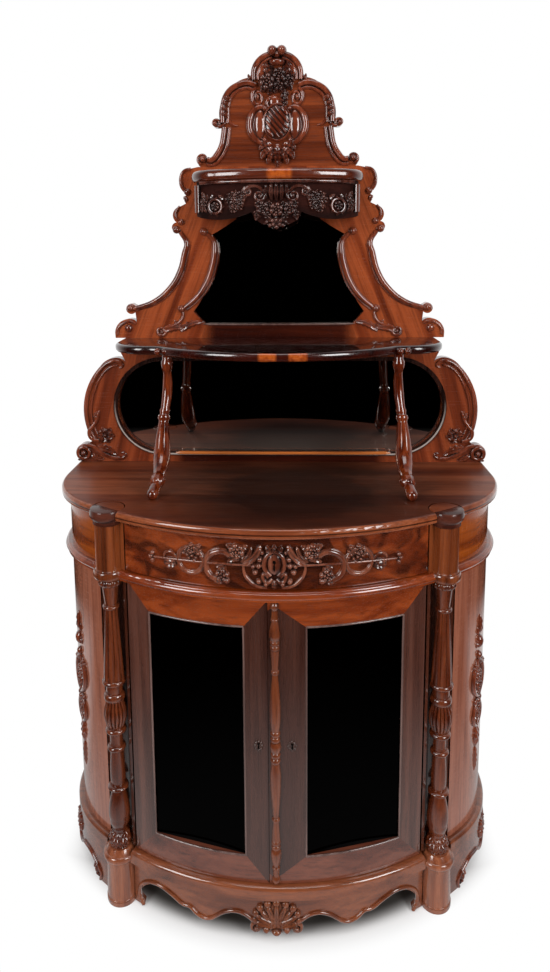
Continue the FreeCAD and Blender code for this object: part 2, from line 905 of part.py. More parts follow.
z_bearer = z_floor + d.shelf_height - d.bearer_height
panel_inner = face + d.panel_thickness
bearers = []
for side, sign in sides:
    bearer = new_body("bearer")
    bearer_insets = (panel_inner, panel_inner + d.bearer_width)
    side_shell(bearer, sign, bearer_insets, post_end, y_back, (z_bearer, z_bearer + d.bearer_height))
    bearers.append(bearer)
posts_clear = box("posts_clear", (-d.half_width, d.half_width), (-d.shelf_front, y_back), (z_floor, z_rail))
keep(common("bearer_ends", group("bearer_pair", bearers), posts_clear), "shelf_bearers")

shelf_z = (z_floor + d.shelf_height, z_floor + d.shelf_height + d.shelf_thickness)
shelf = new_body("shelf")
plan_board(shelf, panel_inner + d.fit_gap, y_back, shelf_z)
shelf_clear = box("shelf_clear", (-d.half_width, d.half_width), (-d.shelf_front, y_back), (z_floor, z_rail))
keep(common("shelf_cut", shelf, shelf_clear), "interior_shelf")

# Cabinet top: moulded rim, notched for the column caps, with a mortise for the drawer bolt

drawer_back_inset = face + d.drawer_front_thickness
lock_y = (bow_y(drawer_back_inset, 0), bow_y(drawer_back_inset, 0) + d.lock_depth)
bolt_middle = (lock_y[0] + lock_y[1]) / 2 + 1
bolt_y = (bolt_middle - d.bolt_thickness / 2, bolt_middle + d.bolt_thickness / 2)
bolt_top = z_top - d.drawer_gap - 1
top = new_body("top")
plan_board(top, 0, d.back_reach, (z_top, z_table))
round_edges(top, d.moulding_round, along_rim(0, z_table))
round_edges(top, d.moulding_round * 0.7, along_rim(0, z_top))
top_notches = group("top_notches", column_cylinder(d.cap_radius + d.fit_gap, (z_top, z_table)))
top_mortise = box("top_mortise", wider((-bolt_half, bolt_half), d.bolt_clearance),
                  wider(bolt_y, d.bolt_clearance), (z_top, bolt_top + d.bolt_throw + 2))
keep(cut("top_cut", top, top_notches, top_mortise), "cabinet_top")

cap_height = d.top_thickness + d.cap_rise
cap_members = [belly(cap_height, d.cap_radius - 5, d.cap_radius, 0.5, d.cap_radius - 5)]
column_caps = [turned("cap", cap_members, d.column_x * sign, column_y, z_top) for side, sign in sides]
keep(group("caps", column_caps), "column_caps")

# Side carvings: tapering pendants on the round corners

carvings = []
pendant_turn = 58
z_pendant = z_floor + d.pendant_rise
for side, sign in sides:
    pendant = new_body("pendant")
    kite = Outline(upright(pendant, 0), 0, z_pendant)
    kite.arc(d.pendant_half * 0.2, z_pendant + d.pendant_height * 0.2,
             d.pendant_half * 0.6, z_pendant + d.pendant_height * 0.38)
    kite.arc(d.pendant_half, z_pendant + d.pendant_height * 0.55,
             d.pendant_half * 0.55, z_pendant + d.pendant_height * 0.72)
    kite.line(0, z_pendant + d.pendant_height)
    kite.mirror().close()
    pad(pendant, kite.sketch, d.corner_radius)
    pendant.Placement.Rotation = Rotation(Vector(0, 0, 1), pendant_turn * sign)
    place(pendant, side_x * sign, d.corner_centre, 0)
    heights = (z_floor, z_rail)
    skin = cut("corner_skin",
               cylinder("corner_out", side_x * sign, d.corner_centre, heights,
                        d.corner_radius - face + d.carving_depth * 0.6),
               cylinder("corner_in", side_x * sign, d.corner_centre, heights, d.corner_radius - face))
    carvings.append(common("pendant_skin", pendant, skin))
keep(group("pendants", carvings), "side_carvings")

# Drawer: a bowed front with a carved band, two sides, a back and a bottom

drawer_front = new_body("drawer_front_board")
drawer_z = (z_drawer + d.drawer_gap, z_top - d.drawer_gap)
front_shell(drawer_front, (face, drawer_back_inset), (-drawer_half, drawer_half), drawer_z)
keep(drawer_front, "drawer_front")

drawer_end = bow_y(drawer_back_inset, side_inner) + d.drawer_depth
box_z = (z_drawer + d.slide_clearance, z_drawer + d.slide_clearance + d.drawer_side_height)
box_boards = [
    box("drawer_side", (side_inner, side_outer), (-d.front_reach, drawer_end), box_z),
    box("drawer_side", (-side_outer, -side_inner), (-d.front_reach, drawer_end), box_z),
    box("drawer_back", (-side_inner, side_inner), (drawer_end - d.drawer_side_thickness, drawer_end), box_z),
]
keep(common("drawer_boards", group("boards", box_boards), behind_bow(drawer_back_inset)), "drawer_box")
bottom_z = (z_drawer + d.drawer_bottom_rise, z_drawer + d.drawer_bottom_rise + d.drawer_bottom_thickness)
drawer_bottom = box("drawer_floor", (-side_inner, side_inner),
                    (-d.front_reach, drawer_end - d.drawer_side_thickness), bottom_z)
keep(common("drawer_floor_cut", drawer_bottom, behind_bow(drawer_back_inset)), "drawer_bottom")

z_frieze = z_drawer + d.frieze_height * 0.4
frieze_depth = (-d.front_reach, bow_y(face, drawer_half))
spread = d.frieze_spread
rod_half = d.frieze_rod / 2
band = [box("rod", (-spread, spread), frieze_depth, (z_frieze - rod_half, z_frieze + rod_half)),
        boss("keyhole_boss", 0, z_frieze, d.frieze_bud * 1.2, frieze_depth)]
buds = (
    # share of the spread, rise above the rod and size, as shares of the largest bud
    (0.13, 0.6, 0.9), (0.2, 1.35, 1.0), (0.33, 0.8, 0.8),
    (0.45, 0.1, 0.5), (0.83, 0.0, 0.65), (0.97, 0.0, 0.4),
)
for sign in (-1, 1):
    for share, rise, size in buds:
        bud_z = z_frieze + d.frieze_bud * rise
        band.append(boss("bud", spread * share * sign, bud_z, d.frieze_bud * size, frieze_depth))
    scroll_x, scroll_z = spread * 0.61 * sign, z_frieze + d.frieze_bud * 0.35
    band.append(cut("scroll", boss("scroll_out", scroll_x, scroll_z, d.frieze_scroll, frieze_depth),
                    boss("scroll_in", scroll_x, scroll_z, d.frieze_scroll * 0.65, frieze_depth)))
frieze_skin = new_body("frieze_skin")
front_shell(frieze_skin, (face - d.carving_depth, face), (-drawer_half, drawer_half), drawer_z)
keep(common("frieze_band", fuse("band", band), frieze_skin), "frieze_carving")

# Drawer lock: behind the front, its bolt rises into the top

lock_half = d.lock_width / 2
lock_z = (bolt_top - d.lock_height, bolt_top)
bolt_channel = box("bolt_channel", wider((-bolt_half, bolt_half), d.bolt_clearance),
                   wider(bolt_y, d.bolt_clearance), (bolt_top - d.bolt_length - 2, z_top))
lock_case = common("lock_case", box("lock_box", (-lock_half, lock_half), (lock_y[0] - 5, lock_y[1]), lock_z),
                   behind_bow(drawer_back_inset))
keep(cut("lock_cut", lock_case, bolt_channel), "drawer_lock")
lock_bolt = box("lock_bolt", (-bolt_half, bolt_half), bolt_y, (bolt_top - d.bolt_length, bolt_top))
keep(lock_bolt, "drawer_lock_bolt")

# Doors: four mitred pieces round a flat pane, turning on pins in the moulding and the rail

door_z = (z_floor + d.door_gap, z_rail - d.door_gap)
pane_z = (door_z[0] + d.bottom_rail, door_z[1] - d.top_rail)
z_keyhole = z_floor + d.keyhole_height
case_y = bow_y(door_back, 0)
right_bolt_y = (case_y - d.lock_depth + 3, case_y - d.lock_depth + 3 + d.bolt_thickness)
right_bolt_z = (z_keyhole - bolt_half, z_keyhole + bolt_half)


def door_piece(x, z, waste):
    """One frame member: a bowed board with its two mitred corners cut off."""
    body = new_body("member")
    front_shell(body, (face, door_back), sorted(x, key=float), z)
    sketch = upright(body, 0)
    for corners in waste:
        outline = Outline(sketch, *corners[0])
        outline.line(*corners[1])
        outline.line(*corners[2])
        outline.close()
    cut_through(body, sketch)
    return body


def door_frame(outer, pane_outer, pane_inner, inner):
    """The stiles and rails between the hinge edge, the pane and the meeting edge."""
    low, high = door_z
    pane_low, pane_high = pane_z
    members = []
    for edge_x, pane_x in ((outer, pane_outer), (inner, pane_inner)):
        waste = [[(edge_x, low), (pane_x, low), (pane_x, pane_low)],
                 [(edge_x, high), (pane_x, high), (pane_x, pane_high)]]
        members.append(door_piece((edge_x, pane_x), door_z, waste))
    for edge_z, inner_z in ((low, pane_low), (high, pane_high)):
        waste = [[(outer, edge_z), (outer, inner_z), (pane_outer, inner_z)],
                 [(inner, edge_z), (inner, inner_z), (pane_inner, inner_z)]]
        members.append(door_piece((outer, inner), sorted((edge_z, inner_z), key=float), waste))
    return group("door_members", members)


for side, sign in sides:
    half_gap = d.meeting_gap / 2
    meeting_edge = -d.meeting_line - half_gap if sign < 0 else half_gap - d.meeting_line
    pane_outer, pane_inner = d.glass_outer * sign, d.glass_inner * sign
    frame = door_frame(hinge_edge * sign, pane_outer, pane_inner, meeting_edge)
    # The pane is a chord of the bow, so everything in the rebate is turned to its angle.
    left, right = sorted((pane_outer, pane_inner), key=float)
    rise = bow_y(face, right) - bow_y(face, left)
    chord = root(rise * rise + (right - left) * (right - left))
    pane_angle = slope_angle(rise, right - left)
    along = ((right - left) / chord, rise / chord)

    def chord_box(name, start, length, setback, depth, z):
        """A box along the pane's chord, from a start along it and a setback behind it."""
        item = doc.addObject("Part::Box", name)
        bind(item, "Length", length)
        bind(item, "Width", depth)
        bind(item, "Height", as_size(z[1]) - z[0])
        start = as_size(start)
        place(item, left + start * along[0] - as_size(setback) * along[1],
              bow_y(face, left) + start * along[1] + as_size(setback) * along[0], z[0])
        bind(item, ".Placement.Rotation.Angle", pane_angle)
        return item

    lap, gap = d.glass_lap, d.fit_gap
    rebate_z = wider(pane_z, lap)
    rebate = chord_box("rebate", -lap, chord + lap * 2, d.glass_setback, d.door_thickness * 2, rebate_z)
    pins = [cylinder("bore", pivot_x * sign, pivot_y, (door_z[0] - 1, door_z[0] + d.pivot_depth),
                     d.pivot_radius + d.running_clearance),
            cylinder("bore", pivot_x * sign, pivot_y, (door_z[1] - d.pivot_depth, door_z[1] + 1),
                     d.pivot_radius + d.running_clearance)]
    frame = cut("door_bored", frame, rebate, group("pivot_bores", pins))
    channel_y = wider(right_bolt_y, d.bolt_clearance)
    channel_z = wider(right_bolt_z, d.bolt_clearance)
    if side == "left":
        mortise = box("mortise", (meeting_edge - d.bolt_throw - 3, meeting_edge + 1), channel_y, channel_z)
        frame = cut("door_mortised", frame, mortise)
    else:
        lock_x = (meeting_edge + 4, meeting_edge + 4 + d.lock_width)
        case_z = (z_keyhole - d.lock_height / 2, z_keyhole + d.lock_height / 2)
        pocket = box("lock_pocket", lock_x, (case_y - d.lock_depth, case_y + d.door_thickness), case_z)
        channel = box("bolt_hole", (meeting_edge - 1, lock_x[0] + 1), channel_y, channel_z)
        frame = cut("door_mortised", frame, pocket, channel)
    keep(frame, side + "_door_frame")

    pane = chord_box("pane", gap - lap, chord + (lap - gap) * 2, d.glass_setback, d.glass_thickness,
                     wider(pane_z, lap - gap))
    keep(pane, side + "_door_glass")
    behind = d.glass_setback + d.glass_thickness
    beads = [
        chord_box("bead", gap - lap, lap - gap, behind, d.bead_depth, wider(pane_z, lap - gap)),
        chord_box("bead", chord, lap - gap, behind, d.bead_depth, wider(pane_z, lap - gap)),
        chord_box("bead", 0, chord, behind, d.bead_depth, (pane_z[0] - lap + gap, pane_z[0])),
        chord_box("bead", 0, chord, behind, d.bead_depth, (pane_z[1], pane_z[1] + lap - gap)),
    ]
    keep(group("beads", beads), side + "_door_beads")

    plate_y = (-d.front_reach, bow_y(face, d.glass_inner))
    plate = boss("plate", d.keyhole_x * sign, z_keyhole, d.escutcheon_radius, plate_y)
    plate_skin = new_body("plate_skin")
    front_shell(plate_skin, (face - d.escutcheon_thickness, face), (-d.glass_inner, d.glass_inner), door_z)
    keep(common("plate_bent", plate, plate_skin), side + "_door_escutcheon")

# Pivot pins: two to each door, the lower ones with a shoulder that carries it

pins = []
for side, sign in sides:
    x = pivot_x * sign
    reach_in = d.pivot_depth - 1
    lower = cylinder("lower_pin", x, pivot_y, (z_floor - d.pivot_depth, door_z[0] + reach_in), d.pivot_radius)
    shoulder = cylinder("shoulder", x, pivot_y, (z_floor, door_z[0] - d.running_clearance), d.pivot_shoulder)
    pins.append(fuse("lower_pivot", [lower, shoulder]))
    pin_z = (door_z[1] - reach_in, z_rail + d.pivot_depth)
    pins.append(cylinder("upper_pin", x, pivot_y, pin_z, d.pivot_radius))
keep(group("pins", pins), "pivot_pins")

# Left door bolt: slides up its case on the back of the meeting stile, into the drawer rail

bolt_z = (door_z[1] - d.door_bolt_length - 3, door_z[1] - 3)
case_bounds = wider(left_bolt_bounds, 6)
case_z = (bolt_z[0] + 4, bolt_z[1] - 4)
case_depth = (left_bolt_y - d.bolt_thickness, left_bolt_y + d.bolt_thickness + 3)
bolt_case = box("bolt_case", case_bounds, case_depth, case_z)
case_channel = box("case_channel", wider(left_bolt_bounds, d.bolt_clearance),
                   wider(left_bolt_depth, d.bolt_clearance), wider(case_z, 1))
keep(cut("case_cut", common("case_seat", bolt_case, behind_bow(door_back)), case_channel), "left_bolt_case")
keep(box("door_bolt", left_bolt_bounds, left_bolt_depth, bolt_z), "left_door_bolt")

# Right door lock and its bolt, which slides into the left door

lock_start = half_gap - d.meeting_line + 4
lock_x = (lock_start + d.fit_gap, lock_start + d.lock_width - d.fit_gap)
lock_z = wider((z_keyhole, z_keyhole), d.lock_height / 2 - d.fit_gap)
lock_box = box("door_lock", lock_x, (case_y - d.lock_depth + d.fit_gap, case_y), lock_z)
bolt_x = (half_gap - d.meeting_line + 1, half_gap - d.meeting_line + 1 + d.bolt_length)
lock_channel = box("lock_channel", (lock_start - 1, bolt_x[1] + 2), wider(right_bolt_y, d.bolt_clearance),
                   wider(right_bolt_z, d.bolt_clearance))
keep(cut("door_lock_cut", lock_box, lock_channel), "right_door_lock")
keep(box("right_bolt", bolt_x, right_bolt_y, right_bolt_z), "right_lock_bolt")

# Meeting spindle: a split turning on the right door

slim = d.spindle_radius * 0.5
ring = bead(d.spindle_ring_height, d.spindle_radius)
door_height = door_z[1] - door_z[0]
taper_height = (door_height - d.spindle_bulb_height - d.spindle_ring_height * 8) / 4
half_members = [
    ring,
    belly(taper_height, slim, d.spindle_radius, 0.35, slim),
    ring,
    ring,
    straight(taper_height, slim + 1, d.spindle_radius - 4),
    ring,
]
upper_half = [(rise, upper, lower, bulge and (bulge[0], 1 - bulge[1]))
              for rise, lower, upper, bulge in reversed(half_members)]
bulb = belly(d.spindle_bulb_height, slim + 2, d.spindle_radius, 0.5, slim + 2)
spindle = turned("spindle", half_members + [bulb] + upper_half, 0, face - d.front_reach, door_z[0])
keep(cut("spindle_split", spindle, behind_bow(face)), "meeting_spindle")

# Lower back panel: a shaped board with a stadium mirror

lower_x = d.lower_panel_reach / 547
lower_z = d.lower_tier_height / 329


def stadium(sketch, radius, z):
    """An outline of two round ends joined by straight runs."""
    outline = Outline(sketch, d.mirror_end_x, z - radius)
    diagonal = radius * math.sqrt(0.5)
    outline.arc(d.mirror_end_x + diagonal, z - diagonal, d.mirror_end_x + radius, z)
    outline.arc(d.mirror_end_x + diagonal, z + diagonal, d.mirror_end_x, z + radius)
    outline.line(-d.mirror_end_x, z + radius)
    outline.arc(-d.mirror_end_x - diagonal, z + diagonal, -d.mirror_end_x - radius, z)
    outline.arc(-d.mirror_end_x - diagonal, z - diagonal, -d.mirror_end_x, z - radius)
    outline.close()


z_mirror = z_table + d.mirror_height
lower_panel = new_body("lower_panel")
outline = Outline(upright(lower_panel, d.back_reach), 0, z_table)
outline.line(556 * lower_x, z_table)
outline.arc(574 * lower_x, z_table + 24 * lower_z, 540 * lower_x, z_table + 48 * lower_z)
outline.line(526 * lower_x, z_table + 60 * lower_z)
outline.arc(547 * lower_x, z_table + 150 * lower_z, 495 * lower_x, z_table + 272 * lower_z)
outline.arc(474 * lower_x, z_table + 290 * lower_z, 450 * lower_x, z_table + 296 * lower_z)
outline.arc(434 * lower_x, z_table + 292 * lower_z, 422 * lower_x, z_table + 281 * lower_z)
outline.line(437 * lower_x, z_table + 310 * lower_z)
outline.line(437 * lower_x, z_shelf)
outline.line(0, z_shelf)
outline.mirror().close()
pad(lower_panel, outline.sketch, d.board_thickness)
opening = upright(lower_panel, 0)
stadium(opening, d.mirror_end_radius, z_mirror)
cut_through(lower_panel, opening)
rebate = upright(lower_panel, d.back_reach)
rebate_depth = d.board_thickness - d.mirror_setback
stadium(rebate, d.mirror_end_radius + d.mirror_lap, z_mirror)
recess(lower_panel, rebate, rebate_depth)
keep(lower_panel, "lower_back_panel")

mirror_y = y_board + d.mirror_setback
plate_radius = d.mirror_end_radius + d.mirror_lap - d.fit_gap
mirror_backs = []
lower_mirror = new_body("lower_mirror_plate")
sketch = upright(lower_mirror, mirror_y + d.mirror_thickness)
stadium(sketch, plate_radius, z_mirror)
pad(lower_mirror, sketch, d.mirror_thickness)
keep(lower_mirror, "lower_mirror")
lower_backing = new_body("lower_backing")
sketch = upright(lower_backing, mirror_y + d.mirror_thickness + d.mirror_back_thickness)
stadium(sketch, plate_radius, z_mirror)
pad(lower_backing, sketch, d.mirror_back_thickness)
mirror_backs.append(lower_backing)

bead_ring = new_body("bead_ring")
sketch = upright(bead_ring, y_board)
stadium(sketch, d.mirror_end_radius + d.mirror_bead_width, z_mirror)
pad(bead_ring, sketch, d.mirror_bead_depth)
sketch = upright(bead_ring, 0)
stadium(sketch, d.mirror_end_radius, z_mirror)
cut_through(bead_ring, sketch)
keep(bead_ring, "lower_mirror_bead")

# Middle shelf: a bow between two round lobes, resting on the supports and the lower panel

middle_shelf = new_body("middle_shelf_board")
lobe_y = y_board - d.shelf_lobe_depth
lobe_diagonal = d.shelf_lobe_radius * math.sqrt(0.5)
lobe_reach = d.shelf_lobe_x + d.shelf_lobe_radius
sketch = level(middle_shelf, z_shelf)
outline = Outline(sketch, 0, d.back_reach)
outline.line(lobe_reach, d.back_reach)
outline.line(lobe_reach, lobe_y)
outline.arc(d.shelf_lobe_x + lobe_diagonal, lobe_y - lobe_diagonal,
            d.shelf_lobe_x, lobe_y - d.shelf_lobe_radius)
outline.line(d.shelf_bow_half, lobe_y - d.shelf_lobe_radius)
shelf_front = y_board - d.shelf_bow_depth
bow_drop = lobe_y - d.shelf_lobe_radius - shelf_front
outline.arc(d.shelf_bow_half * 0.5, shelf_front + bow_drop * 0.23, 0, shelf_front)
outline.mirror().close()
pad(middle_shelf, sketch, d.middle_shelf_thickness)
keep(middle_shelf, "middle_shelf")

# Shelf supports: S-shaped legs from the cabinet top to the front of the shelf

support_y = lobe_y - d.shelf_lobe_radius + d.support_radius
support_stations = (
    # shares of the height, of the reach in front of the top and of the radius, and the lean in degrees
    (0.0, 0.99, 0.6, 0), (0.04, 1.0, 0.6, 0), (0.1, 0.8, 0.65, 60), (0.15, 0.57, 0.85, 56),
    (0.225, 0.37, 0.95, 32), (0.42, 0.19, 0.8, 20), (0.52, 0.11, 0.75, 10), (0.6, 0.06, 0.5, 8),
    (0.76, 0.02, 0.5, 0), (0.93, 0.05, 0.63, 0), (1.0, 0.05, 0.6, 0),
)
for side, sign in sides:
    leg = new_body("leg")
    sections = []
    for share, forward, stoutness, lean in support_stations:
        sketch = level(leg, z_table + d.lower_tier_height * share)
        sketch.AttachmentOffset.Rotation = Rotation(Vector(1, 0, 0), -lean)
        splayed = d.support_x + d.support_splay * (1 - share)
        bind(sketch, ".AttachmentOffset.Base.x", splayed * sign + d.support_shift)
        bind(sketch, ".AttachmentOffset.Base.y", support_y - d.support_reach * forward)
        add_circle(sketch, 0, 0, d.support_radius * stoutness)
        sections.append(sketch)
    loft = leg.newObject("PartDesign::AdditiveLoft", "leg_loft")
    loft.Profile = sections[0]
    loft.Sections = sections[1:]
    keep(leg, "shelf_support_" + side)

# Upper back panel: a shaped board between scrolls, with its mirror

upper_x = d.upper_panel_reach / 450
upper_z = d.upper_tier_height / 457


def upper(x, z):
    return x * upper_x, z_upper + z * upper_z


upper_panel = new_body("upper_panel")
outline = Outline(upright(upper_panel, d.back_reach), 0, z_upper)
outline.line(*upper(449, 0))
outline.line(*upper(450, 14))
outline.arc(*upper(441, 38), *upper(415, 52))
outline.arc(*upper(400, 52), *upper(389, 44))
outline.line(*upper(392, 71))
outline.arc(*upper(417, 82), *upper(400, 94))
outline.line(*upper(372, 78))
outline.arc(*upper(293, 137), *upper(252, 219))
outline.arc(*upper(246, 256), *upper(264, 288))
outline.arc(*upper(284, 293), *upper(262, 308))
outline.arc(*upper(282, 332), *upper(262, 354))
outline.line(*upper(246, 362))
outline.line(*upper(253, 378))
outline.line(*upper(242, 386))
outline.arc(*upper(263, 420), *upper(240, 451))
outline.line(*upper(212, 457))
outline.line(*upper(0, 457))
outline.mirror().close()
pad(upper_panel, outline.sketch, d.board_thickness)
opening = Outline(upright(upper_panel, 0), *upper(0, 36))
opening.line(*upper(200, 36))
opening.line(*upper(232, 72))
opening.arc(*upper(187, 150), *upper(165, 235))
opening.arc(*upper(166, 258), *upper(177, 280))
opening.arc(*upper(142, 300), *upper(112, 320))
opening.line(*upper(105, 380))
opening.line(*upper(0, 395))
opening.mirror().close()
cut_through(upper_panel, opening.sketch)


def mirror_outline(sketch, margin):
    """The plate behind the upper opening, smaller all round by a margin."""
    outline = Outline(sketch, 0, z_upper + 26 * upper_z + margin)
    for x, z, sink in ((244, 26, 1), (244, 86, 0), (192, 190, 0), (192, 405, -1)):
        outline.line(x * upper_x - margin, z_upper + z * upper_z + margin * sink)
    outline.line(0, z_upper + 405 * upper_z - margin)
    outline.mirror().close()


rebate = upright(upper_panel, d.back_reach)
mirror_outline(rebate, 0)
recess(upper_panel, rebate, rebate_depth)
keep(upper_panel, "upper_back_panel")
upper_mirror = new_body("upper_mirror_plate")
sketch = upright(upper_mirror, mirror_y + d.mirror_thickness)
mirror_outline(sketch, d.fit_gap)
pad(upper_mirror, sketch, d.mirror_thickness)
keep(upper_mirror, "upper_mirror")
upper_backing = new_body("upper_backing")
sketch = upright(upper_backing, mirror_y + d.mirror_thickness + d.mirror_back_thickness)
mirror_outline(sketch, d.fit_gap)
pad(upper_backing, sketch, d.mirror_back_thickness)
mirror_backs.append(upper_backing)
keep(group("backings", mirror_backs), "mirror_backs")

# Scroll mouldings: an outer and an inner C-scroll on each side, with round ends

scrolls = []
scroll_y = (y_board - d.scroll_depth, y_board)
scroll_half = d.scroll_width / 2
scroll_paths = (
    # The middle line of a band: two arcs, each point with the direction across the band.
    (((396, 77), (0.4, 0.9)), ((293, 137), (0.7, 0.7)), ((252, 230), (1, 0)), ((246, 256), (1, 0)),
     ((263, 289), (0.7, -0.7))),
    (((256, 82), (0.4, 0.9)), ((199, 142), (0.8, 0.6)), ((171, 236), (1, 0)), ((172, 262), (1, 0)),
     ((189, 282), (0.7, -0.7))),
)
scroll_balls = (((404, 83), (272, 294)), ((264, 80), (198, 287)))


def beside(step, sign, side):
    """One edge of the band beside a point of its middle line."""
    (x, z), (across_x, across_z) = step
    x, z = upper(x, z)
    return (x + scroll_half * across_x * side) * sign, z + scroll_half * across_z * side


for sign in (-1, 1):
    for path, balls in zip(scroll_paths, scroll_balls):
        band = new_body("scroll_band")
        near = [beside(step, sign, -1) for step in path]
        far = [beside(step, sign, 1) for step in reversed(path)]
        ribbon = Outline(upright(band, y_board), *near[0])
        ribbon.arc(*near[1], *near[2])
        ribbon.arc(*near[3], *near[4])
        ribbon.line(*far[0])
        ribbon.arc(*far[1], *far[2])
        ribbon.arc(*far[3], *far[4])
        ribbon.close()
        pad(band, ribbon.sketch, d.scroll_depth)
        pieces = [band]
        for ball in balls:
            x, z = upper(*ball)
            pieces.append(boss("scroll_end", x * sign, z, d.scroll_width, scroll_y))
        scrolls.append(fuse("scroll_moulding", pieces))
keep(group("scrolls", scrolls), "scroll_mouldings")

# Top shelf and its bowed apron

z_top_shelf = z_crest - d.top_shelf_drop


def top_shelf_half(outline, inset):
    """Half of the shelf's outline at an inset, from the back to the middle of the front."""
    half = d.top_shelf_half - inset
    front = y_board - d.top_shelf_depth + inset
    depth = y_board - front
    outline.line(half, y_board - depth * 0.3)
    outline.arc(half * 0.93, y_board - depth * 0.6, half * 0.74, y_board - depth * 0.79)
    outline.arc(half * 0.4, y_board - depth * 0.945, 0, front)


top_shelf = new_body("top_shelf_board")
sketch = level(top_shelf, z_top_shelf)
outline = Outline(sketch, 0, y_board)
outline.line(d.top_shelf_half, y_board)
top_shelf_half(outline, 0)
outline.mirror().close()
pad(top_shelf, sketch, d.top_shelf_thickness)
keep(top_shelf, "top_shelf")

shelf_apron = new_body("shelf_apron")
for feature, inset in (("outside", d.shelf_apron_inset),
                       ("inside", d.shelf_apron_inset + d.shelf_apron_thickness)):
    sketch = level(shelf_apron, z_top_shelf - d.shelf_apron_height)
    outline = Outline(sketch, 0, y_board)
    outline.line(d.top_shelf_half - inset, y_board)
    top_shelf_half(outline, inset)
    outline.mirror().close()
    if feature == "outside":
        pad(shelf_apron, sketch, d.shelf_apron_height)
    else:
        cut_through(shelf_apron, sketch)
swag_height = d.shelf_apron_height
swag_half = d.top_shelf_half
swag = Outline(upright(shelf_apron, 0), 0, z_top_shelf - swag_height * 1.1)
swag.line(swag_half, z_top_shelf - swag_height * 1.1)
swag.line(swag_half, z_top_shelf - swag_height * 0.68)
swag.arc(swag_half * 0.65, z_top_shelf - swag_height * 0.81,
         swag_half * 0.28, z_top_shelf - swag_height * 0.66)
swag.arc(swag_half * 0.21, z_top_shelf - swag_height * 0.85,
         swag_half * 0.1, z_top_shelf - swag_height * 0.93)
swag.line(0, z_top_shelf - swag_height)
swag.mirror().close()
cut_through(shelf_apron, swag.sketch)
keep(shelf_apron, "top_shelf_apron")

# Crest board and its carving

crest_x = d.crest_half / 205
crest_z = d.crest_height / 290


def crest(x, z):
    return x * crest_x, z_crest + z * crest_z


crest_board = new_body("crest_plank")
outline = Outline(upright(crest_board, y_board + d.crest_thickness), 0, z_crest)
outline.line(*crest(205, 0))
outline.arc(*crest(212, 18), *crest(200, 31))
outline.arc(*crest(190, 26), *crest(186, 14))
outline.arc(*crest(157, 38), *crest(142, 94))
outline.line(*crest(152, 104))
outline.arc(*crest(171, 112), *crest(152, 120))
outline.arc(*crest(134, 190), *crest(71, 226))
outline.line(*crest(66, 240))
outline.arc(*crest(45, 273), *crest(0, 290))
outline.mirror().close()
pad(crest_board, outline.sketch, d.crest_thickness)
keep(crest_board, "crest_board")

depth = d.crest_carving_depth
ornaments = [
    dome("cartouche", 0, z_crest + 109 * crest_z, y_board, 30 * crest_x, depth, 40 * crest_z),
    dome("leaf_drop", 0, z_crest + 30 * crest_z, y_board, 40 * crest_x, depth * 0.7, 34 * crest_z),
    dome("shell_dome", 0, z_crest + 246 * crest_z, y_board, 56 * crest_x, depth, 46 * crest_z),
]
for sign in (-1, 1):
    ornaments.append(dome("bracket", sign * 58 * crest_x, z_crest + 104 * crest_z, y_board, 14 * crest_x,
                          depth * 0.6, 48 * crest_z))
    ornaments.append(dome("volute", sign * 51 * crest_x, z_crest + 180 * crest_z, y_board, 17 * crest_x,
                          depth * 0.8, 17 * crest_z))
    ornaments.append(dome("crown_lobe", sign * 9 * crest_x, z_crest + 293 * crest_z, y_board, 13 * crest_x,
                          depth * 0.8, 12 * crest_z))
before_board = box("before_board", (-d.half_width, d.half_width), (-d.front_reach, y_board),
                   (z_crest, z_crest + d.crest_height * 2))
keep(common("crest_ornaments", fuse("ornaments", ornaments), before_board), "crest_carving")

# Check every object, then write the sub-parts

doc.recompute()
for item in doc.Objects:
    if {"Invalid", "Error"} & set(item.State):
        raise RuntimeError("%s (%s) failed" % (item.Name, item.Label))
for item in parts:
    if item.Shape.isNull() or not item.Shape.isValid() or not item.Shape.Solids:
        raise RuntimeError("%s has no valid shape" % item.Label)
os.makedirs("parts", exist_ok=True)
for item in parts:
    item.Shape.exportStep(os.path.join("parts", item.Label + ".step"))
print(len(parts), "sub-parts written")
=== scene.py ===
import math
import bmesh
import bpy
from mathutils import Matrix, Vector


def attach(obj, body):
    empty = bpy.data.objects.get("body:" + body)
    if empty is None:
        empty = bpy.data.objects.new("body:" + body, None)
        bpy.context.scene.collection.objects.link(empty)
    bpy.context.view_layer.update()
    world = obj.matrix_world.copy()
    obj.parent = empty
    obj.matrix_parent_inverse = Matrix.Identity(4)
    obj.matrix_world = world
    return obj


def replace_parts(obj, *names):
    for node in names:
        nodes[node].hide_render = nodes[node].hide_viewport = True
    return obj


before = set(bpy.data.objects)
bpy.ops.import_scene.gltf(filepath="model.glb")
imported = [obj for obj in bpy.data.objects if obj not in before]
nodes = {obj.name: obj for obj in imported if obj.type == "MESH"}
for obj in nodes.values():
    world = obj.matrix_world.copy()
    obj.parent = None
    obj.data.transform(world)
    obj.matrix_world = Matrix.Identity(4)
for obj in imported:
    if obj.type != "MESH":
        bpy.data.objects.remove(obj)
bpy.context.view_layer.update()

# Plinth blocks: two turned drums of rosewood under the columns, each with a rim at the floor and
# a rounded cap. They are turned in one piece and carry the weight of the front.

mm = 0.001
HANDS = (("left", -1), ("right", 1))


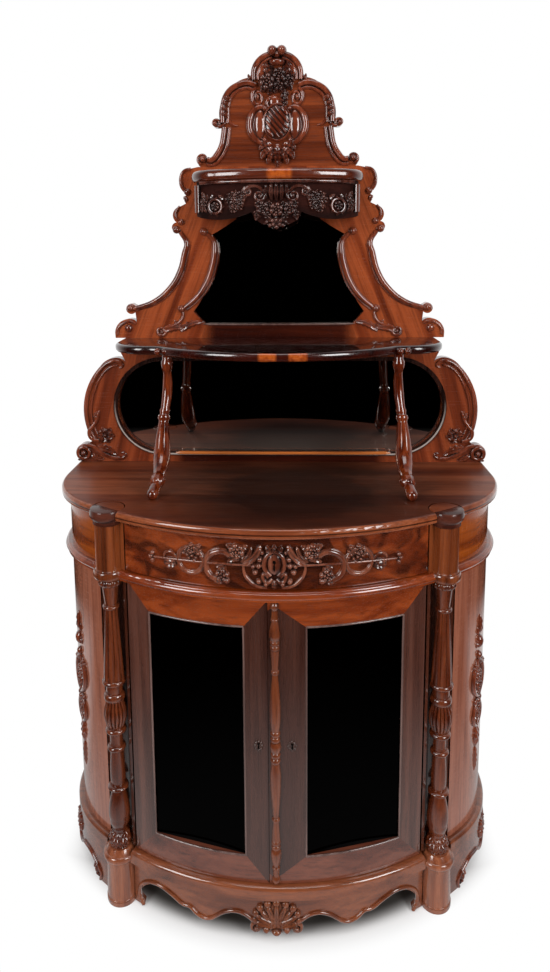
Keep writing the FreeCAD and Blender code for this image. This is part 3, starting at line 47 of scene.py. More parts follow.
class Wire:
    """A socket of a finish, so that sums on it can be written as sums."""

    def __init__(self, finish, socket):
        self.finish = finish
        self.socket = socket

    def sum(self, operation, *values):
        return self.finish.node("ShaderNodeMath", {"operation": operation}, dict(enumerate(values)))

    def __add__(self, other):
        return self.sum("ADD", self, other)

    def __sub__(self, other):
        return self.sum("SUBTRACT", self, other)

    def __rsub__(self, other):
        return self.sum("SUBTRACT", other, self)

    def __mul__(self, other):
        return self.sum("MULTIPLY", self, other)

    def __truediv__(self, other):
        return self.sum("DIVIDE", self, other)

    def __gt__(self, other):
        return self.sum("GREATER_THAN", self, other)

    def __lt__(self, other):
        return self.sum("LESS_THAN", self, other)

    def __abs__(self):
        return self.sum("ABSOLUTE", self)

    __radd__ = __add__
    __rmul__ = __mul__

    def most(self, other):
        """The greater of two values."""
        return self.sum("MAXIMUM", self, other)

    def fade(self, start, end, first, last, smooth=False):
        """A value that goes from first to last as this one goes from start to end."""
        course = {"interpolation_type": "SMOOTHSTEP" if smooth else "LINEAR"}
        return self.finish.node("ShaderNodeMapRange", course, {
            "Value": self, "From Min": start, "From Max": end, "To Min": first, "To Max": last})

    def part(self, axis):
        """One axis of a place."""
        return self.finish.node("ShaderNodeSeparateXYZ", None, {0: self}, axis)

    def times(self, scale):
        """A place with its axes stretched."""
        return self.finish.node("ShaderNodeVectorMath", {"operation": "MULTIPLY"}, {0: self, 1: scale})

    def gap(self, point):
        """How far a place is from a point."""
        return self.finish.node("ShaderNodeVectorMath", {"operation": "DISTANCE"}, {0: self, 1: point},
                                "Value")


class Finish:
    """A finish of the cabinet, or the light of the room, and its shader nodes."""

    def __init__(self, owner, shader="Principled BSDF"):
        owner.use_nodes = True
        self.owner = owner
        self.tree = owner.node_tree
        self.shader = self.tree.nodes[shader]

    def node(self, kind, settings=None, sockets=None, output=0):
        """A node with its settings made first, then the values or links of its sockets."""
        made = self.tree.nodes.new(kind)
        for name, value in (settings or {}).items():
            if name == "stops":
                ramp = made.color_ramp
                while len(ramp.elements) < len(value):
                    ramp.elements.new(1)
                for element, (at, colour) in zip(ramp.elements, value):
                    element.position = at
                    element.color = (*colour, 1)
            else:
                setattr(made, name, value)
        for name, value in (sockets or {}).items():
            self.feed(made.inputs[name], value)
        return Wire(self, made.outputs[output])

    def feed(self, socket, value):
        if isinstance(value, Wire):
            self.tree.links.new(value.socket, socket)
        elif hasattr(value, "__len__") and len(value) == 3 and socket.type == "RGBA":
            socket.default_value = (*value, 1)
        else:
            socket.default_value = value

    def place(self):
        """Where a point is, in metres."""
        return self.node("ShaderNodeTexCoord", None, None, "Object")

    def noise(self, place, scale, detail=2.0, roughness=0.5, distortion=0.0):
        return self.node("ShaderNodeTexNoise", None, {
            "Vector": place, "Scale": scale, "Detail": detail, "Roughness": roughness,
            "Distortion": distortion})

    def mix(self, factor, first, second):
        return self.node("ShaderNodeMix", {"data_type": "RGBA"}, {0: factor, 6: first, 7: second}, 2)

    def wear(self, sockets):
        """Feed the shader's own sockets."""
        for name, value in sockets.items():
            self.feed(self.shader.inputs[name], value)
        return self.owner


def new_finish(name):
    return Finish(bpy.data.materials.new(name))


def stain(red, green, blue):
    """A colour as it is mixed, out of 255, turned into light."""
    return tuple((part / 255) ** 2.2 for part in (red, green, blue))


def stains(dark, body, pale):
    """The three tones of a wood."""
    return stain(*dark), stain(*body), stain(*pale)


ALONG = {"x": (0.04, 1, 1), "y": (1, 0.04, 1), "z": (1, 1, 0.04)}
POLISH = {"Coat Weight": 0.75, "Coat IOR": 1.6, "Coat Roughness": 0.06, "Specular IOR Level": 0.4}


def figured(finish, place, along, tones, figure=1.0):
    """The bands, streaks and pores of rosewood along one axis: its colour and where the pores are."""
    laid = place.times(ALONG[along])
    bands = finish.noise(laid, 22.0 * figure, 3.0, 0.5, 0.5)
    streaks = finish.noise(laid, 110.0 * figure, 4.0, 0.65, 0.3)
    pores = finish.noise(laid, 480.0 * figure)
    dark, body, pale = tones
    broad = finish.node("ShaderNodeValToRGB", {"stops": (
        (0.2, dark), (0.42, body), (0.58, pale), (0.8, body))}, {"Fac": bands})
    dash = streaks.fade(0.5, 0.75, 0.0, 0.65)
    pore = pores.fade(0.5, 0.68, 0.0, 1.0)
    return finish.mix(pore * 0.35, finish.mix(dash, broad, dark), dark), pore


def pitted(finish, pore):
    """The pores as fine pits under the polish."""
    return finish.node("ShaderNodeBump", None, {"Strength": 0.06, "Distance": 0.001, "Height": 1 - pore})


def rosewood(name, along, tones, figure=1.0):
    """Polished rosewood with its grain along an axis."""
    finish = new_finish(name)
    colour, pore = figured(finish, finish.place(), along, tones, figure)
    return finish.wear({**POLISH, "Base Color": colour, "Roughness": 0.2 + pore * 0.14,
                        "Normal": pitted(finish, pore)})


def piece(name, bm, material, body="cabinet", crease=40):
    """A finished piece from its bmesh, riding on a body."""
    mesh = bpy.data.meshes.new(name)
    bm.to_mesh(mesh)
    bm.free()
    mesh.shade_smooth()
    mesh.set_sharp_from_angle(angle=math.radians(crease))
    mesh.materials.append(material)
    made = bpy.data.objects.new(name, mesh)
    bpy.context.scene.collection.objects.link(made)
    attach(made, body)
    return made


def straight(height, lower, upper):
    return [(0, lower), (height, upper)]


def bead(height, radius, neck):
    """A half-round ring between two necks."""
    turns = [math.pi * step / 10 for step in range(11)]
    return [(height * (1 - math.cos(turn)) / 2, neck + (radius - neck) * math.sin(turn)) for turn in turns]


def turned(members, x, y, z, steps=64, cut=None):
    """A turning from its members, bottom up; a cut shapes it round its axis by angle and height."""
    bm = bmesh.new()
    outline = [(0, 0)]
    level = 0
    for member in members:
        outline += [(level + rise, radius) for rise, radius in member]
        level += member[-1][0]
    outline.append((level, 0))
    verts = [bm.verts.new((radius, 0, rise)) for rise, radius in outline]
    edges = [bm.edges.new(pair) for pair in zip(verts, verts[1:])]
    bmesh.ops.spin(bm, geom=verts + edges, axis=(0, 0, 1), angle=math.tau, steps=steps, use_merge=True)
    bmesh.ops.remove_doubles(bm, verts=bm.verts, dist=0.01)
    bmesh.ops.recalc_face_normals(bm, faces=bm.faces)
    if cut:
        for vert in bm.verts:
            share = cut(math.atan2(vert.co.y, vert.co.x), vert.co.z)
            vert.co.x *= share
            vert.co.y *= share
    bmesh.ops.scale(bm, vec=(mm, mm, mm), verts=bm.verts)
    bmesh.ops.translate(bm, vec=(x * mm, y * mm, z * mm), verts=bm.verts)
    return bm


COLUMN_X = 392.5
COLUMN_Y = -128.5
plinth_wood = rosewood("Rosewood plinths", "z", stains((76, 35, 20), (124, 68, 44), (148, 88, 61)), 2.0)
drum = [straight(3, 37, 38), straight(9, 38, 38), bead(4, 38, 36.5), straight(92, 36.5, 36.5),
        straight(6, 36.5, 38), straight(5, 38, 38), bead(19, 43, 36), straight(4, 36, 34),
        straight(8, 34, 29)]
for side, sign in HANDS:
    block = piece("plinth_" + side, turned(drum, COLUMN_X * sign, COLUMN_Y, 0), plinth_wood)
    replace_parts(block, "plinth_block_" + side)

# Aprons and base moulding: sawn and shaped boards of rosewood under a moulding that runs round the
# foot of the cabinet, glued to the bottom board. The grain runs along each of them.


def paint(material, *names):
    """Give CAD nodes their finish."""
    for name in names:
        nodes[name].data.materials.clear()
        nodes[name].data.materials.append(material)


base_wood = rosewood("Rosewood base", "x", stains((60, 28, 16), (108, 57, 35), (130, 73, 47)))
paint(base_wood, "front_apron", "base_moulding")
BROWN = stains((56, 30, 22), (98, 54, 40), (122, 72, 54))
paint(rosewood("Rosewood into the depth", "y", BROWN), "side_apron_left", "side_apron_right")

# Scallop shell: carved in the solid on the middle of the front apron, a ribbed dome with a scalloped
# rim over a roll, between two leaves and two small volutes. Less polish has stayed on it.


def carved_wood(name, tones, polish=0.75):
    """Carved rosewood, painted darker in its hollows by ambient occlusion as painted shade, and rougher
    there.
    """
    finish = new_finish(name)
    colour, pore = figured(finish, finish.place(), "z", tones, 2.0)
    open_air = finish.node("ShaderNodeAmbientOcclusion", {"samples": 8, "only_local": True},
                           {"Distance": 0.012}, "AO")
    # Painted shade: ambient occlusion darkens the colour in the hollows and creases.
    occlusion_shade = open_air.fade(0.3, 0.95, 0.9, 0.0)
    shaded_colour = finish.mix(occlusion_shade, colour, stain(16, 7, 6))
    return finish.wear({**POLISH, "Coat Weight": polish, "Base Color": shaded_colour,
                        "Roughness": 0.14 + occlusion_shade * 0.45, "Normal": pitted(finish, pore)})


class Carving:
    """Relief carving, drawn flat in millimetres: u across, w up and v out of its ground."""

    def __init__(self):
        self.cuts = []
        self.hand = 1

    def add(self, bm):
        """Set a finished cut aside."""
        self.cuts.append(bpy.data.meshes.new("cut"))
        bm.to_mesh(self.cuts[-1])
        bm.free()

    def ball(self, u, w, across, up=None, out=None, v=0, turn=0, rounds=12):
        """A knob, berry or petal, stretched across, up and out."""
        matrix = (Matrix.Translation((u * self.hand, w, v))
                  @ Matrix.Rotation(math.radians(turn) * self.hand, 4, "Z")
                  @ Matrix.Diagonal((across, up or across, out or across, 1)))
        bm = bmesh.new()
        bmesh.ops.create_uvsphere(bm, u_segments=rounds, v_segments=rounds // 2 + 1, radius=1, matrix=matrix)
        self.add(bm)

    def leaf(self, start, tip, width, height, bow=0, lobes=4, curl=0, v=0):
        """A leaf from its stalk to its tip, bowed sideways, with lobes along its edge and a vein."""
        start, tip = Vector(start), Vector(tip)
        run = tip - start
        across = Vector((-run.y, run.x)).normalized()
        bm = bmesh.new()
        bmesh.ops.create_uvsphere(bm, u_segments=12, v_segments=6 + 2 * lobes, radius=1)
        for vert in bm.verts:
            side, face, length = vert.co
            share = (length + 1) / 2
            edge = 1 + 0.22 * math.cos(math.tau * lobes * share) * abs(side)
            lean = side * width / 2 * edge * (1.25 - 0.5 * share) + bow * 4 * share * (1 - share)
            at = start + run * share + across * lean
            vein = 1 - 0.45 * math.exp(-(side * 5) ** 2) + 0.18 * math.cos(math.tau * lobes * share)
            rise = face * height * (vein if face > 0 else 0.25) + curl * share * share
            vert.co = (at.x * self.hand, at.y, rise + v)
        self.add(bm)

    def stem(self, points, thick, v=None):
        """A round stem or moulding through the points, as thick as given, all along or at each one."""
        line = bpy.data.curves.new("stem", "CURVE")
        line.dimensions = "3D"
        line.bevel_depth = 1
        line.bevel_resolution = 2
        line.resolution_u = 5
        line.use_fill_caps = True
        spline = line.splines.new("BEZIER")
        spline.bezier_points.add(len(points) - 1)
        for index, (knot, point) in enumerate(zip(spline.bezier_points, points)):
            radius = thick if isinstance(thick, (int, float)) else thick[index]
            knot.co = (point[0] * self.hand, point[1], radius * 0.3 if v is None else v)
            knot.radius = radius
            knot.handle_left_type = "AUTO"
            knot.handle_right_type = "AUTO"
        holder = bpy.data.objects.new("stem", line)
        self.cuts.append(bpy.data.meshes.new_from_object(holder))
        bpy.data.objects.remove(holder)
        bpy.data.curves.remove(line)

    def volute(self, u, w, radius, thick, start=0, turns=1.5, hand=1, tall=1.0):
        """A spiral that winds in to a button, from its outer end at an angle."""
        count = int(turns * 10)
        points = []
        for step in range(count + 1):
            turn = math.radians(start) + hand * math.tau * turns * step / count
            reach = radius * (1 - 0.8 * step / count)
            points.append((u + reach * math.cos(turn), w + reach * math.sin(turn) * tall))
        self.stem(points, [thick * (1 - 0.5 * step / count) for step in range(count + 1)])
        self.ball(u, w, radius * 0.32, radius * 0.32 * tall, thick * 1.3)

    def rose(self, u, w, size, out=None, petals=5, v=0):
        """An open rose: two rings of petals round a bud."""
        out = out or size * 0.5
        for reach, count, broad, lift in ((0.62, petals, 0.46, 0.3), (0.33, petals - 1, 0.3, 0.65)):
            for number in range(count):
                turn = math.tau * (number + lift) / count
                self.ball(u + size * reach * math.cos(turn), w + size * reach * math.sin(turn),
                          size * broad, size * broad * 0.72, out * (0.6 + lift * 0.5),
                          v, math.degrees(turn) + 90, 8)
        self.ball(u, w, size * 0.2, size * 0.2, out * 1.15, v, 0, 8)

    def berries(self, u, w, across, up, out, count):
        """A heap of berries, packed like the seeds of a sunflower."""
        for number in range(count):
            reach = math.sqrt((number + 0.3) / count)
            turn = math.radians(137.5) * number
            size = math.sqrt(across * up / count) * 0.8
            self.ball(u + across * reach * math.cos(turn), w + up * reach * math.sin(turn), size, size,
                      out * (1.1 - 0.45 * reach), 0, 0, 8)

    def lay(self, name, ground, material, body="cabinet", crease=50):
        """Bend the flat carving on to its ground."""
        bm = bmesh.new()
        for mesh in self.cuts:
            bm.from_mesh(mesh, face_normals=False, vertex_normals=False)
            bpy.data.meshes.remove(mesh)
        for vert in bm.verts:
            vert.co = ground(*(vert.co * mm))
        bmesh.ops.remove_doubles(bm, verts=bm.verts, dist=1e-7)
        bmesh.ops.recalc_face_normals(bm, faces=bm.faces)
        return piece(name, bm, material, body, crease)


BOW_RADIUS = 0.7251
BOW_CENTRE = 0.4651
FACE_INSET = 0.020


def on_bow(inset):
    """The bowed front at an inset from the rim of the top."""
    radius = BOW_RADIUS - inset

    def ground(u, w, v):
        back = math.sqrt(radius * radius - u * u)
        return u * (radius + v) / radius, BOW_CENTRE - back * (radius + v) / radius, w
    return ground


shell = Carving()
shell.ball(0, 62, 50, 42, 10)
for flute in range(9):
    turn = math.radians(-8 + 24.5 * flute)
    rim = (50 * math.cos(turn), 61 + 41 * math.sin(turn))
    shell.leaf((0, 44), rim, 20, 9, lobes=1, curl=3, v=4)
    shell.ball(rim[0], rim[1], 9.5, 9.5, 7, 2)
shell.leaf((0, 66), (0, 30), 26, 12, lobes=2, curl=4)
shell.ball(0, 32, 14, 9, 18)
for shell.hand in (-1, 1):
    shell.ball(24, 36, 10, 11, 15)
    shell.volute(47, 35, 13, 5, 90, 1.3, -1)
    shell.ball(47, 35, 7, 7, 12)
    shell.leaf((22, 46), (54, 46), 16, 9, bow=-4, lobes=3)
shell_wood = carved_wood("Carved rosewood shell", stains((58, 28, 17), (100, 54, 35), (126, 72, 48)), 0.25)
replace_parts(shell.lay("shell_carving", on_bow(FACE_INSET), shell_wood), "apron_shell")

# Apron bead: a raised half-round line cut along the wavy lower edge of the front apron, in one with
# it, which ends in a leaf and a knob beside each plinth block.

EDGE_RADIUS = 4.5
apron_edge = Carving()
for apron_edge.hand in (-1, 1):
    wave = [(333, 3), (341, 18), (344, 36), (332, 64), (294, 81), (255, 70), (227, 55), (209, 54), (190, 40),
            (173, 35), (155, 40), (142, 50), (122, 64), (96, 71), (71, 64), (49, 45)]
    apron_edge.stem(wave, EDGE_RADIUS, 1)
    apron_edge.ball(337, 9, 6, 7, 6)
    apron_edge.leaf((345, 34), (333, 8), 12, 6, bow=4, lobes=3)
apron_edge.lay("apron_bead", on_bow(FACE_INSET), base_wood)

# Skirts: the carving of the side aprons, a bead along their lower edge, a leaf at the plinth block
# and a hanging acanthus at the back, cut in the solid rosewood.

CORNER_X = 0.290
CORNER_Y = 0.1235
CORNER_RADIUS = 0.277
SKIRT_INSET = 0.006


def on_corner(hand, inset, heading):
    """The round corner at an inset from the rim of the top, so many degrees round from the front."""
    radius = CORNER_RADIUS - inset

    def ground(u, w, v):
        turn = math.radians(heading) + u / radius
        past = max(turn - math.pi / 2, 0)
        turn -= past
        return (hand * (CORNER_X + (radius + v) * math.sin(turn)),
                CORNER_Y - (radius + v) * math.cos(turn) + past * radius, w)
    return ground


carving = carved_wood("Carved rosewood", stains((56, 24, 16), (94, 43, 28), (124, 62, 42)))
for side, sign in HANDS:
    skirt = Carving()
    wave = [(183, 4), (179, 20), (188, 38), (203, 48), (228, 59), (255, 57), (271, 53), (290, 39), (309, 33),
            (328, 39), (345, 53), (370, 66), (422, 78)]
    skirt.stem(wave, EDGE_RADIUS, 1)
    skirt.leaf((318, 112), (316, 46), 26, 9, lobes=5)
    for turn in (-1, 1):
        skirt.leaf((317, 92), (317 + 24 * turn, 66), 18, 8, bow=4 * turn, lobes=3)
        skirt.leaf((317, 108), (317 + 22 * turn, 96), 14, 7, bow=3 * turn, lobes=3)
        skirt.ball(317 + 11 * turn, 84, 6, 6, 8)
    skirt.leaf((204, 46), (184, 24), 18, 8, bow=4, lobes=3)
    skirt.leaf((196, 34), (186, 8), 13, 7, bow=3, lobes=3)
    skirt.lay("skirt_" + side, on_corner(sign, SKIRT_INSET, 0), carving)

# Carcass: bent side panels of rosewood, veneered crosswise over the foot of the frieze, and narrow
# posts beside the doors. Bottom, back, inner shelf and feet are plainer wood, planed and housed.

SIDES = stains((84, 40, 27), (130, 74, 55), (150, 92, 71))
FLAME = stains((80, 32, 9), (128, 58, 17), (154, 76, 26))
FRIEZE_FOOT = 0.866
VENEER_RADIUS = 0.26


def side_wood(name):
    """Upright grain, and over the foot of the frieze a veneer with its grain round the corner."""
    finish = new_finish(name)
    place = finish.place()
    across, height = place.part("X"), place.part("Z")
    heading = across.sum("ARCTAN2", abs(across) - CORNER_X, CORNER_Y - place.part("Y"))
    wrapped = finish.node("ShaderNodeCombineXYZ", None, {"X": heading * VENEER_RADIUS, "Z": height})
    panel, pore = figured(finish, place, "z", SIDES)
    veneer, fine = figured(finish, wrapped, "x", FLAME, 1.4)
    colour = finish.mix(height > FRIEZE_FOOT, panel, veneer)
    return finish.wear({**POLISH, "Base Color": colour, "Roughness": 0.2 + (pore + fine) * 0.07})


paint(side_wood("Rosewood sides"), "side_panel_left", "side_panel_right")
paint(rosewood("Rosewood posts", "z", stains((34, 16, 11), (61, 31, 22), (80, 44, 32))),
      "corner_post_left", "corner_post_right")
INNER = stains((70, 46, 30), (122, 88, 60), (150, 116, 84))
inner_up = rosewood("Carcass wood up", "z", INNER)
inner_along = rosewood("Carcass wood along", "x", INNER)
inner_deep = rosewood("Carcass wood into the depth", "y", INNER)
paint(inner_up, "rear_feet", "cabinet_back")
paint(inner_along, "bottom_board", "interior_shelf")
paint(inner_deep, "shelf_bearers")

# Columns: free-standing turnings of rosewood with a tapering shaft of eight reeds over a reeded bulb,
# a vase and a pear, and a carved ring at each end. They stand on pins between plinth and frieze.


def belly(height, lower, widest, at, upper):
    """A swelling that is widest at a share of its height."""
    shares = [step / 16 for step in range(17)]
    quarter = math.pi / 2
    return [(height * share, lower + (widest - lower) * math.sin(quarter * share / at) if share < at else
             upper + (widest - upper) * math.cos(quarter * (share - at) / (1 - at))) for share in shares]


def column_cut(angle, height):
    """The eight reeds of the shaft, the reeds of the bulb and the lobes of the carved rings."""
    if 447 < height < 626:
        return 0.8 + 0.23 * abs(math.cos(angle * 4)) ** 0.6
    if 319 < height < 389:
        return 0.8 + 0.23 * abs(math.cos(angle * 8)) ** 0.6
    if 2 < height < 39:
        row = math.sin(math.pi * height / 13)
        return 0.87 + 0.15 * abs(math.cos(angle * 7 + height // 13 * math.pi / 2) * row)
    if height > 687:
        return 0.9 + 0.12 * abs(math.cos(angle * 7))
    return 1


COLUMN_FOOT = 150
column_members = [
    belly(39, 24, 29, 0.45, 19), straight(7, 18, 18), belly(28, 18, 25, 0.9, 25),
    belly(78, 25, 26.5, 0.15, 15), bead(12, 25.5, 15), belly(93, 16.5, 18.5, 0.25, 14.5), bead(14, 22.5, 15),
    straight(6, 16, 15.5), straight(27, 15, 15), bead(14, 25.5, 18), belly(72, 19, 27.5, 0.5, 19),
    bead(20, 26, 20), belly(22, 19.5, 20, 0.5, 19.5), bead(14, 28.5, 21),
    *[straight(17.9, 25 - 1.05 * step, 23.95 - 1.05 * step) for step in range(10)],
    bead(10, 20, 14), straight(48, 14.5, 20), bead(20, 28, 18),
]
column_wood = rosewood("Rosewood columns", "z", stains((46, 19, 11), (80, 36, 20), (106, 53, 31)), 2.0)
for side, sign in HANDS:
    turning = turned(column_members, COLUMN_X * sign, COLUMN_Y, COLUMN_FOOT, 96, column_cut)
    shaft = piece("column_turning_" + side, turning, column_wood, crease=30)
    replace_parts(shaft, "column_" + side)

# Frieze moulding and drawer rail: a rail of rosewood between the columns, and under the drawer a
# moulding whose round nose is worked in three lengths, along the bow and back round the corners.

ORANGE = stains((66, 25, 11), (112, 47, 20), (140, 64, 29))
NOSE_INSET = 0.013
NOSE_LEVEL = 866
NOSE_RADIUS = 9
level_wood = rosewood("Rosewood along", "x", ORANGE)
paint(level_wood, "frieze_moulding", "drawer_rail")
nose = Carving()
nose.stem([(u, NOSE_LEVEL) for u in range(-462, 463, 33)], NOSE_RADIUS, 0)
nose.lay("frieze_bead", on_bow(NOSE_INSET), level_wood)
for side, sign in HANDS:
    return_nose = Carving()
    return_nose.stem([(u, NOSE_LEVEL) for u in range(182, 547, 28)], NOSE_RADIUS, 0)
    return_nose.lay("frieze_bead_" + side, on_corner(sign, NOSE_INSET, 0), level_wood)

# Side pendants: carved drops of rosewood glued on the round corners, a leaf over berries and interlaced
# scrolls with roses that run out in a tail.

PENDANT_HEADING = 58
for side, sign in HANDS:
    drop = Carving()
    drop.leaf((0, 652), (0, 705), 18, 8, lobes=3)
    drop.ball(0, 633, 13, 18, 12)
    drop.ball(0, 596, 10, 11, 10)
    for drop.hand in (-1, 1):
        drop.leaf((3, 652), (14, 676), 12, 6, bow=-3, lobes=2)
        drop.leaf((4, 640), (17, 620), 12, 6, bow=3, lobes=3)
        drop.stem([(0, 588), (20, 572), (33, 545), (30, 515), (12, 492), (-6, 480)], [4, 6, 7, 7, 6, 4])
        drop.leaf((8, 578), (34, 548), 20, 9, bow=6, lobes=4)
        drop.leaf((4, 530), (27, 498), 18, 9, bow=-5, lobes=4)
        drop.ball(16, 473, 8, 8, 8)
        drop.stem([(0, 480), (16, 462), (26, 438), (20, 415), (2, 400)], [4, 5.5, 6, 5.5, 4])
        drop.leaf((4, 452), (23, 420), 16, 8, bow=-4, lobes=4)
        drop.ball(9, 449, 7, 7, 8)
        drop.leaf((4, 396), (15, 366), 12, 6, bow=-3, lobes=3)
    drop.hand = 1
    drop.rose(0, 540, 21, 12, 6)
    drop.rose(0, 506, 14, 11, 5)
    drop.ball(0, 472, 9, 9, 11)
    drop.rose(0, 430, 14, 10, 5)
    drop.leaf((0, 404), (0, 338), 24, 9, lobes=4)
    drop.leaf((0, 346), (0, 270), 13, 6, lobes=5)
    pendant = drop.lay("pendant_" + side, on_corner(sign, FACE_INSET, PENDANT_HEADING), carving)
    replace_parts(pendant, "side_carvings")

# Frieze pilasters: eight-sided rosewood shafts over the columns, on the face of the frieze blocks, with
# a ring that carries the frieze moulding round them.

RING_HEIGHT = 24
PILASTER_FOOT = 855


def eight_sided(angle, height):
    """The flats of the shaft over its ring."""
    half_flat = math.pi / 8
    return 1 / math.cos((angle + half_flat) % (2 * half_flat) - half_flat) if height > RING_HEIGHT else 1


block_wood = rosewood("Rosewood frieze blocks", "z", stains((58, 26, 13), (102, 50, 26), (126, 66, 37)), 2.0)
paint(block_wood, "frieze_block_left", "frieze_block_right")
pilaster_members = [straight(2, 34, 36), bead(18, 38, 35.5), straight(2, 35.5, 33), straight(3, 33, 30.2),
                    straight(107, 30.2, 30.2)]
for side, sign in HANDS:
    pilaster = turned(pilaster_members, 0, 0, PILASTER_FOOT, 64, eight_sided)
    facing = math.atan2(COLUMN_X * sign, BOW_CENTRE / mm - COLUMN_Y)
    bmesh.ops.rotate(pilaster, cent=(0, 0, 0), matrix=Matrix.Rotation(facing, 3, "Z"), verts=pilaster.verts)
    bmesh.ops.translate(pilaster, vec=(COLUMN_X * sign * mm, COLUMN_Y * mm, 0), verts=pilaster.verts)
    piece("pilaster_" + side, pilaster, block_wood, crease=30)

# Cabinet top: a rosewood board with a rounded, quirked rim, housed for the column caps and screwed to
# the carcass. Its face is satin and streaked along, darker in the middle from wear and a painted reflection,
# with painted shade in the rim's groove and in the caps' sockets.

RIM = stains((66, 29, 15), (114, 57, 34), (140, 77, 49))
TABLE = stains((58, 22, 11), (108, 52, 31), (136, 74, 48))
TABLE_LEVEL = 1.024
RIM_HEAD = 1.0228
QUIRK_LEVEL = 1.0105
SOCKET_RADIUS = 0.0425


def table_wood(name):
    """A satin face, darker in the middle from wear and a painted reflection, over a polished rim with a
    groove painted as a dark line of shade, and painted shade where the caps are let in.
    """
    finish = new_finish(name)
    place = finish.place()
    height = place.part("Z")
    rim, pore = figured(finish, place, "x", RIM)
    face, fine = figured(finish, place, "x", TABLE, 0.6)
    cloud = finish.noise(place.times((0.45, 1, 1)), 9.0, 5.0, 0.5, 1.5)
    # Wear and painted reflection: the face is darker round the middle and lighter toward its ends.
    wear_and_reflection = (place.gap((0.05, 0.0, TABLE_LEVEL)) + cloud * 0.3).fade(0.3, 0.66, 0.92, 0.0)
    # Painted shade: a dark line stands for the shadow in the rim's groove.
    quirk_shade = abs(height - QUIRK_LEVEL).fade(0.001, 0.0025, 0.8, 0.0)
    above = height > RIM_HEAD
    edge = finish.mix(quirk_shade, rim, stain(36, 14, 8))
    colour = finish.mix(above, edge, finish.mix(wear_and_reflection, face, stain(24, 8, 3)))
    # Painted shade: the walls of the sockets under the caps are painted dark.
    aside = abs(place.part("X")) - COLUMN_X * mm
    ahead = place.part("Y") - COLUMN_Y * mm
    socket_shade = aside * aside + ahead * ahead < SOCKET_RADIUS ** 2
    colour = finish.mix(socket_shade * (1 - above), colour, stain(40, 20, 15))
    return finish.wear({**POLISH, "Base Color": colour, "Roughness": 0.2 + above * 0.2 + (pore + fine) * 0.07,
                        "Coat Weight": 0.75 - above * 0.72, "Specular IOR Level": 0.2})


paint(table_wood("Rosewood top"), "cabinet_top")

# Column caps: dark turned discs let into the rim of the top over each column, a ring under a torus. The
# part inside the rim is polished with the top and matches it.

CAP_FOOT = 987
CAP_FACE = 1.0225
RIM_INSET = 0.011


def cap_wood(name):
    """Dark outside the rim of the top, and the top's own wood inside it."""
    finish = new_finish(name)
    place = finish.place()
    dark, pore = figured(finish, place, "x", stains((34, 16, 12), (62, 32, 25), (84, 46, 36)), 2.0)
    face, fine = figured(finish, place, "x", TABLE, 0.6)
    from_bow = place.times((1, 1, 0)).gap((0, BOW_CENTRE, 0))
    inside = (place.part("Z") > CAP_FACE) * (from_bow < BOW_RADIUS - RIM_INSET)
    return finish.wear({**POLISH, "Base Color": finish.mix(inside, dark, face),
                        "Roughness": 0.2 + inside * 0.2 + (pore + fine) * 0.07,
                        "Coat Weight": 0.15 - inside * 0.12, "Specular IOR Level": 0.2})


cap_members = [straight(2, 31, 34), straight(8, 34, 34), straight(2, 34, 36), belly(21, 36, 41, 0.5, 40),
               straight(3, 40, 39), straight(1, 39, 37)]
cap_rosewood = cap_wood("Rosewood caps")
for side, sign in HANDS:
    disc = turned(cap_members, COLUMN_X * sign, COLUMN_Y, CAP_FOOT)
    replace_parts(piece("cap_" + side, disc, cap_rosewood, crease=30), "column_caps")

# Drawer: a bowed front veneered with mottled rosewood and a plain box behind it on runners, with a
# brass lock. The brass of the doors' locks, bolts and pivots is the same.


def burl(name):
    """Rosewood grain broken by mottling, and darker in the middle, behind the carving of the keyhole."""
    finish = new_finish(name)
    place = finish.place()
    colour, pore = figured(finish, place, "x", ORANGE)
    blot = finish.noise(place.times((0.6, 1, 1)), 14.0, 5.0, 0.5, 2.0)
    colour = finish.mix(blot.fade(0.44, 0.64, 0.0, 0.8), colour, stain(44, 19, 12))
    darker_middle = place.times((0.42, 0, 1)).gap((0, 0, 0.932)).fade(0.03, 0.09, 0.78, 0.0, True)
    colour = finish.mix(darker_middle, colour, stain(30, 13, 8))
    return finish.wear({**POLISH, "Base Color": colour, "Roughness": 0.24 + pore * 0.12})


def old_brass(name):
    """Lock brass, dulled in patches."""
    finish = new_finish(name)
    patch = finish.noise(finish.place(), 90.0, 3.0)
    colour = finish.mix(patch, stain(120, 88, 44), stain(196, 158, 88))
    return finish.wear({"Metallic": 1.0, "Base Color": colour, "Roughness": 0.2 + patch * 0.25})


paint(burl("Frieze veneer"), "drawer_front")
paint(inner_along, "drawer_box", "drawer_bottom")
paint(inner_deep, "drawer_runners")
paint(old_brass("Lock brass"), "drawer_lock", "drawer_lock_bolt", "pivot_pins", "left_bolt_case",
      "left_door_bolt", "right_door_lock", "right_lock_bolt")

# Frieze carving: a pierced spray of rosewood glued to the drawer front. A thin rod carries a keyhole
# cartouche in the middle and, to each side, leaves, roses, a C-scroll that ends in a rose, a hoop
# behind berries, a bud and a trefoil tip.


def round_points(u, w, across, up=None, start=0, stop=361, step=30):
    """Points round an oval, from an angle to another in degrees."""
    return [(u + across * math.cos(math.radians(turn)), w + (up or across) * math.sin(math.radians(turn)))
            for turn in range(start, stop, step)]


def beside(points, gap):
    """The points moved sideways, for a line that runs beside another."""
    moved = []
    for index, point in enumerate(points):
        before, after = points[max(index - 1, 0)], points[min(index + 1, len(points) - 1)]
        along = (Vector(after) - Vector(before)).normalized()
        moved.append((point[0] - along.y * gap, point[1] + along.x * gap))
    return moved


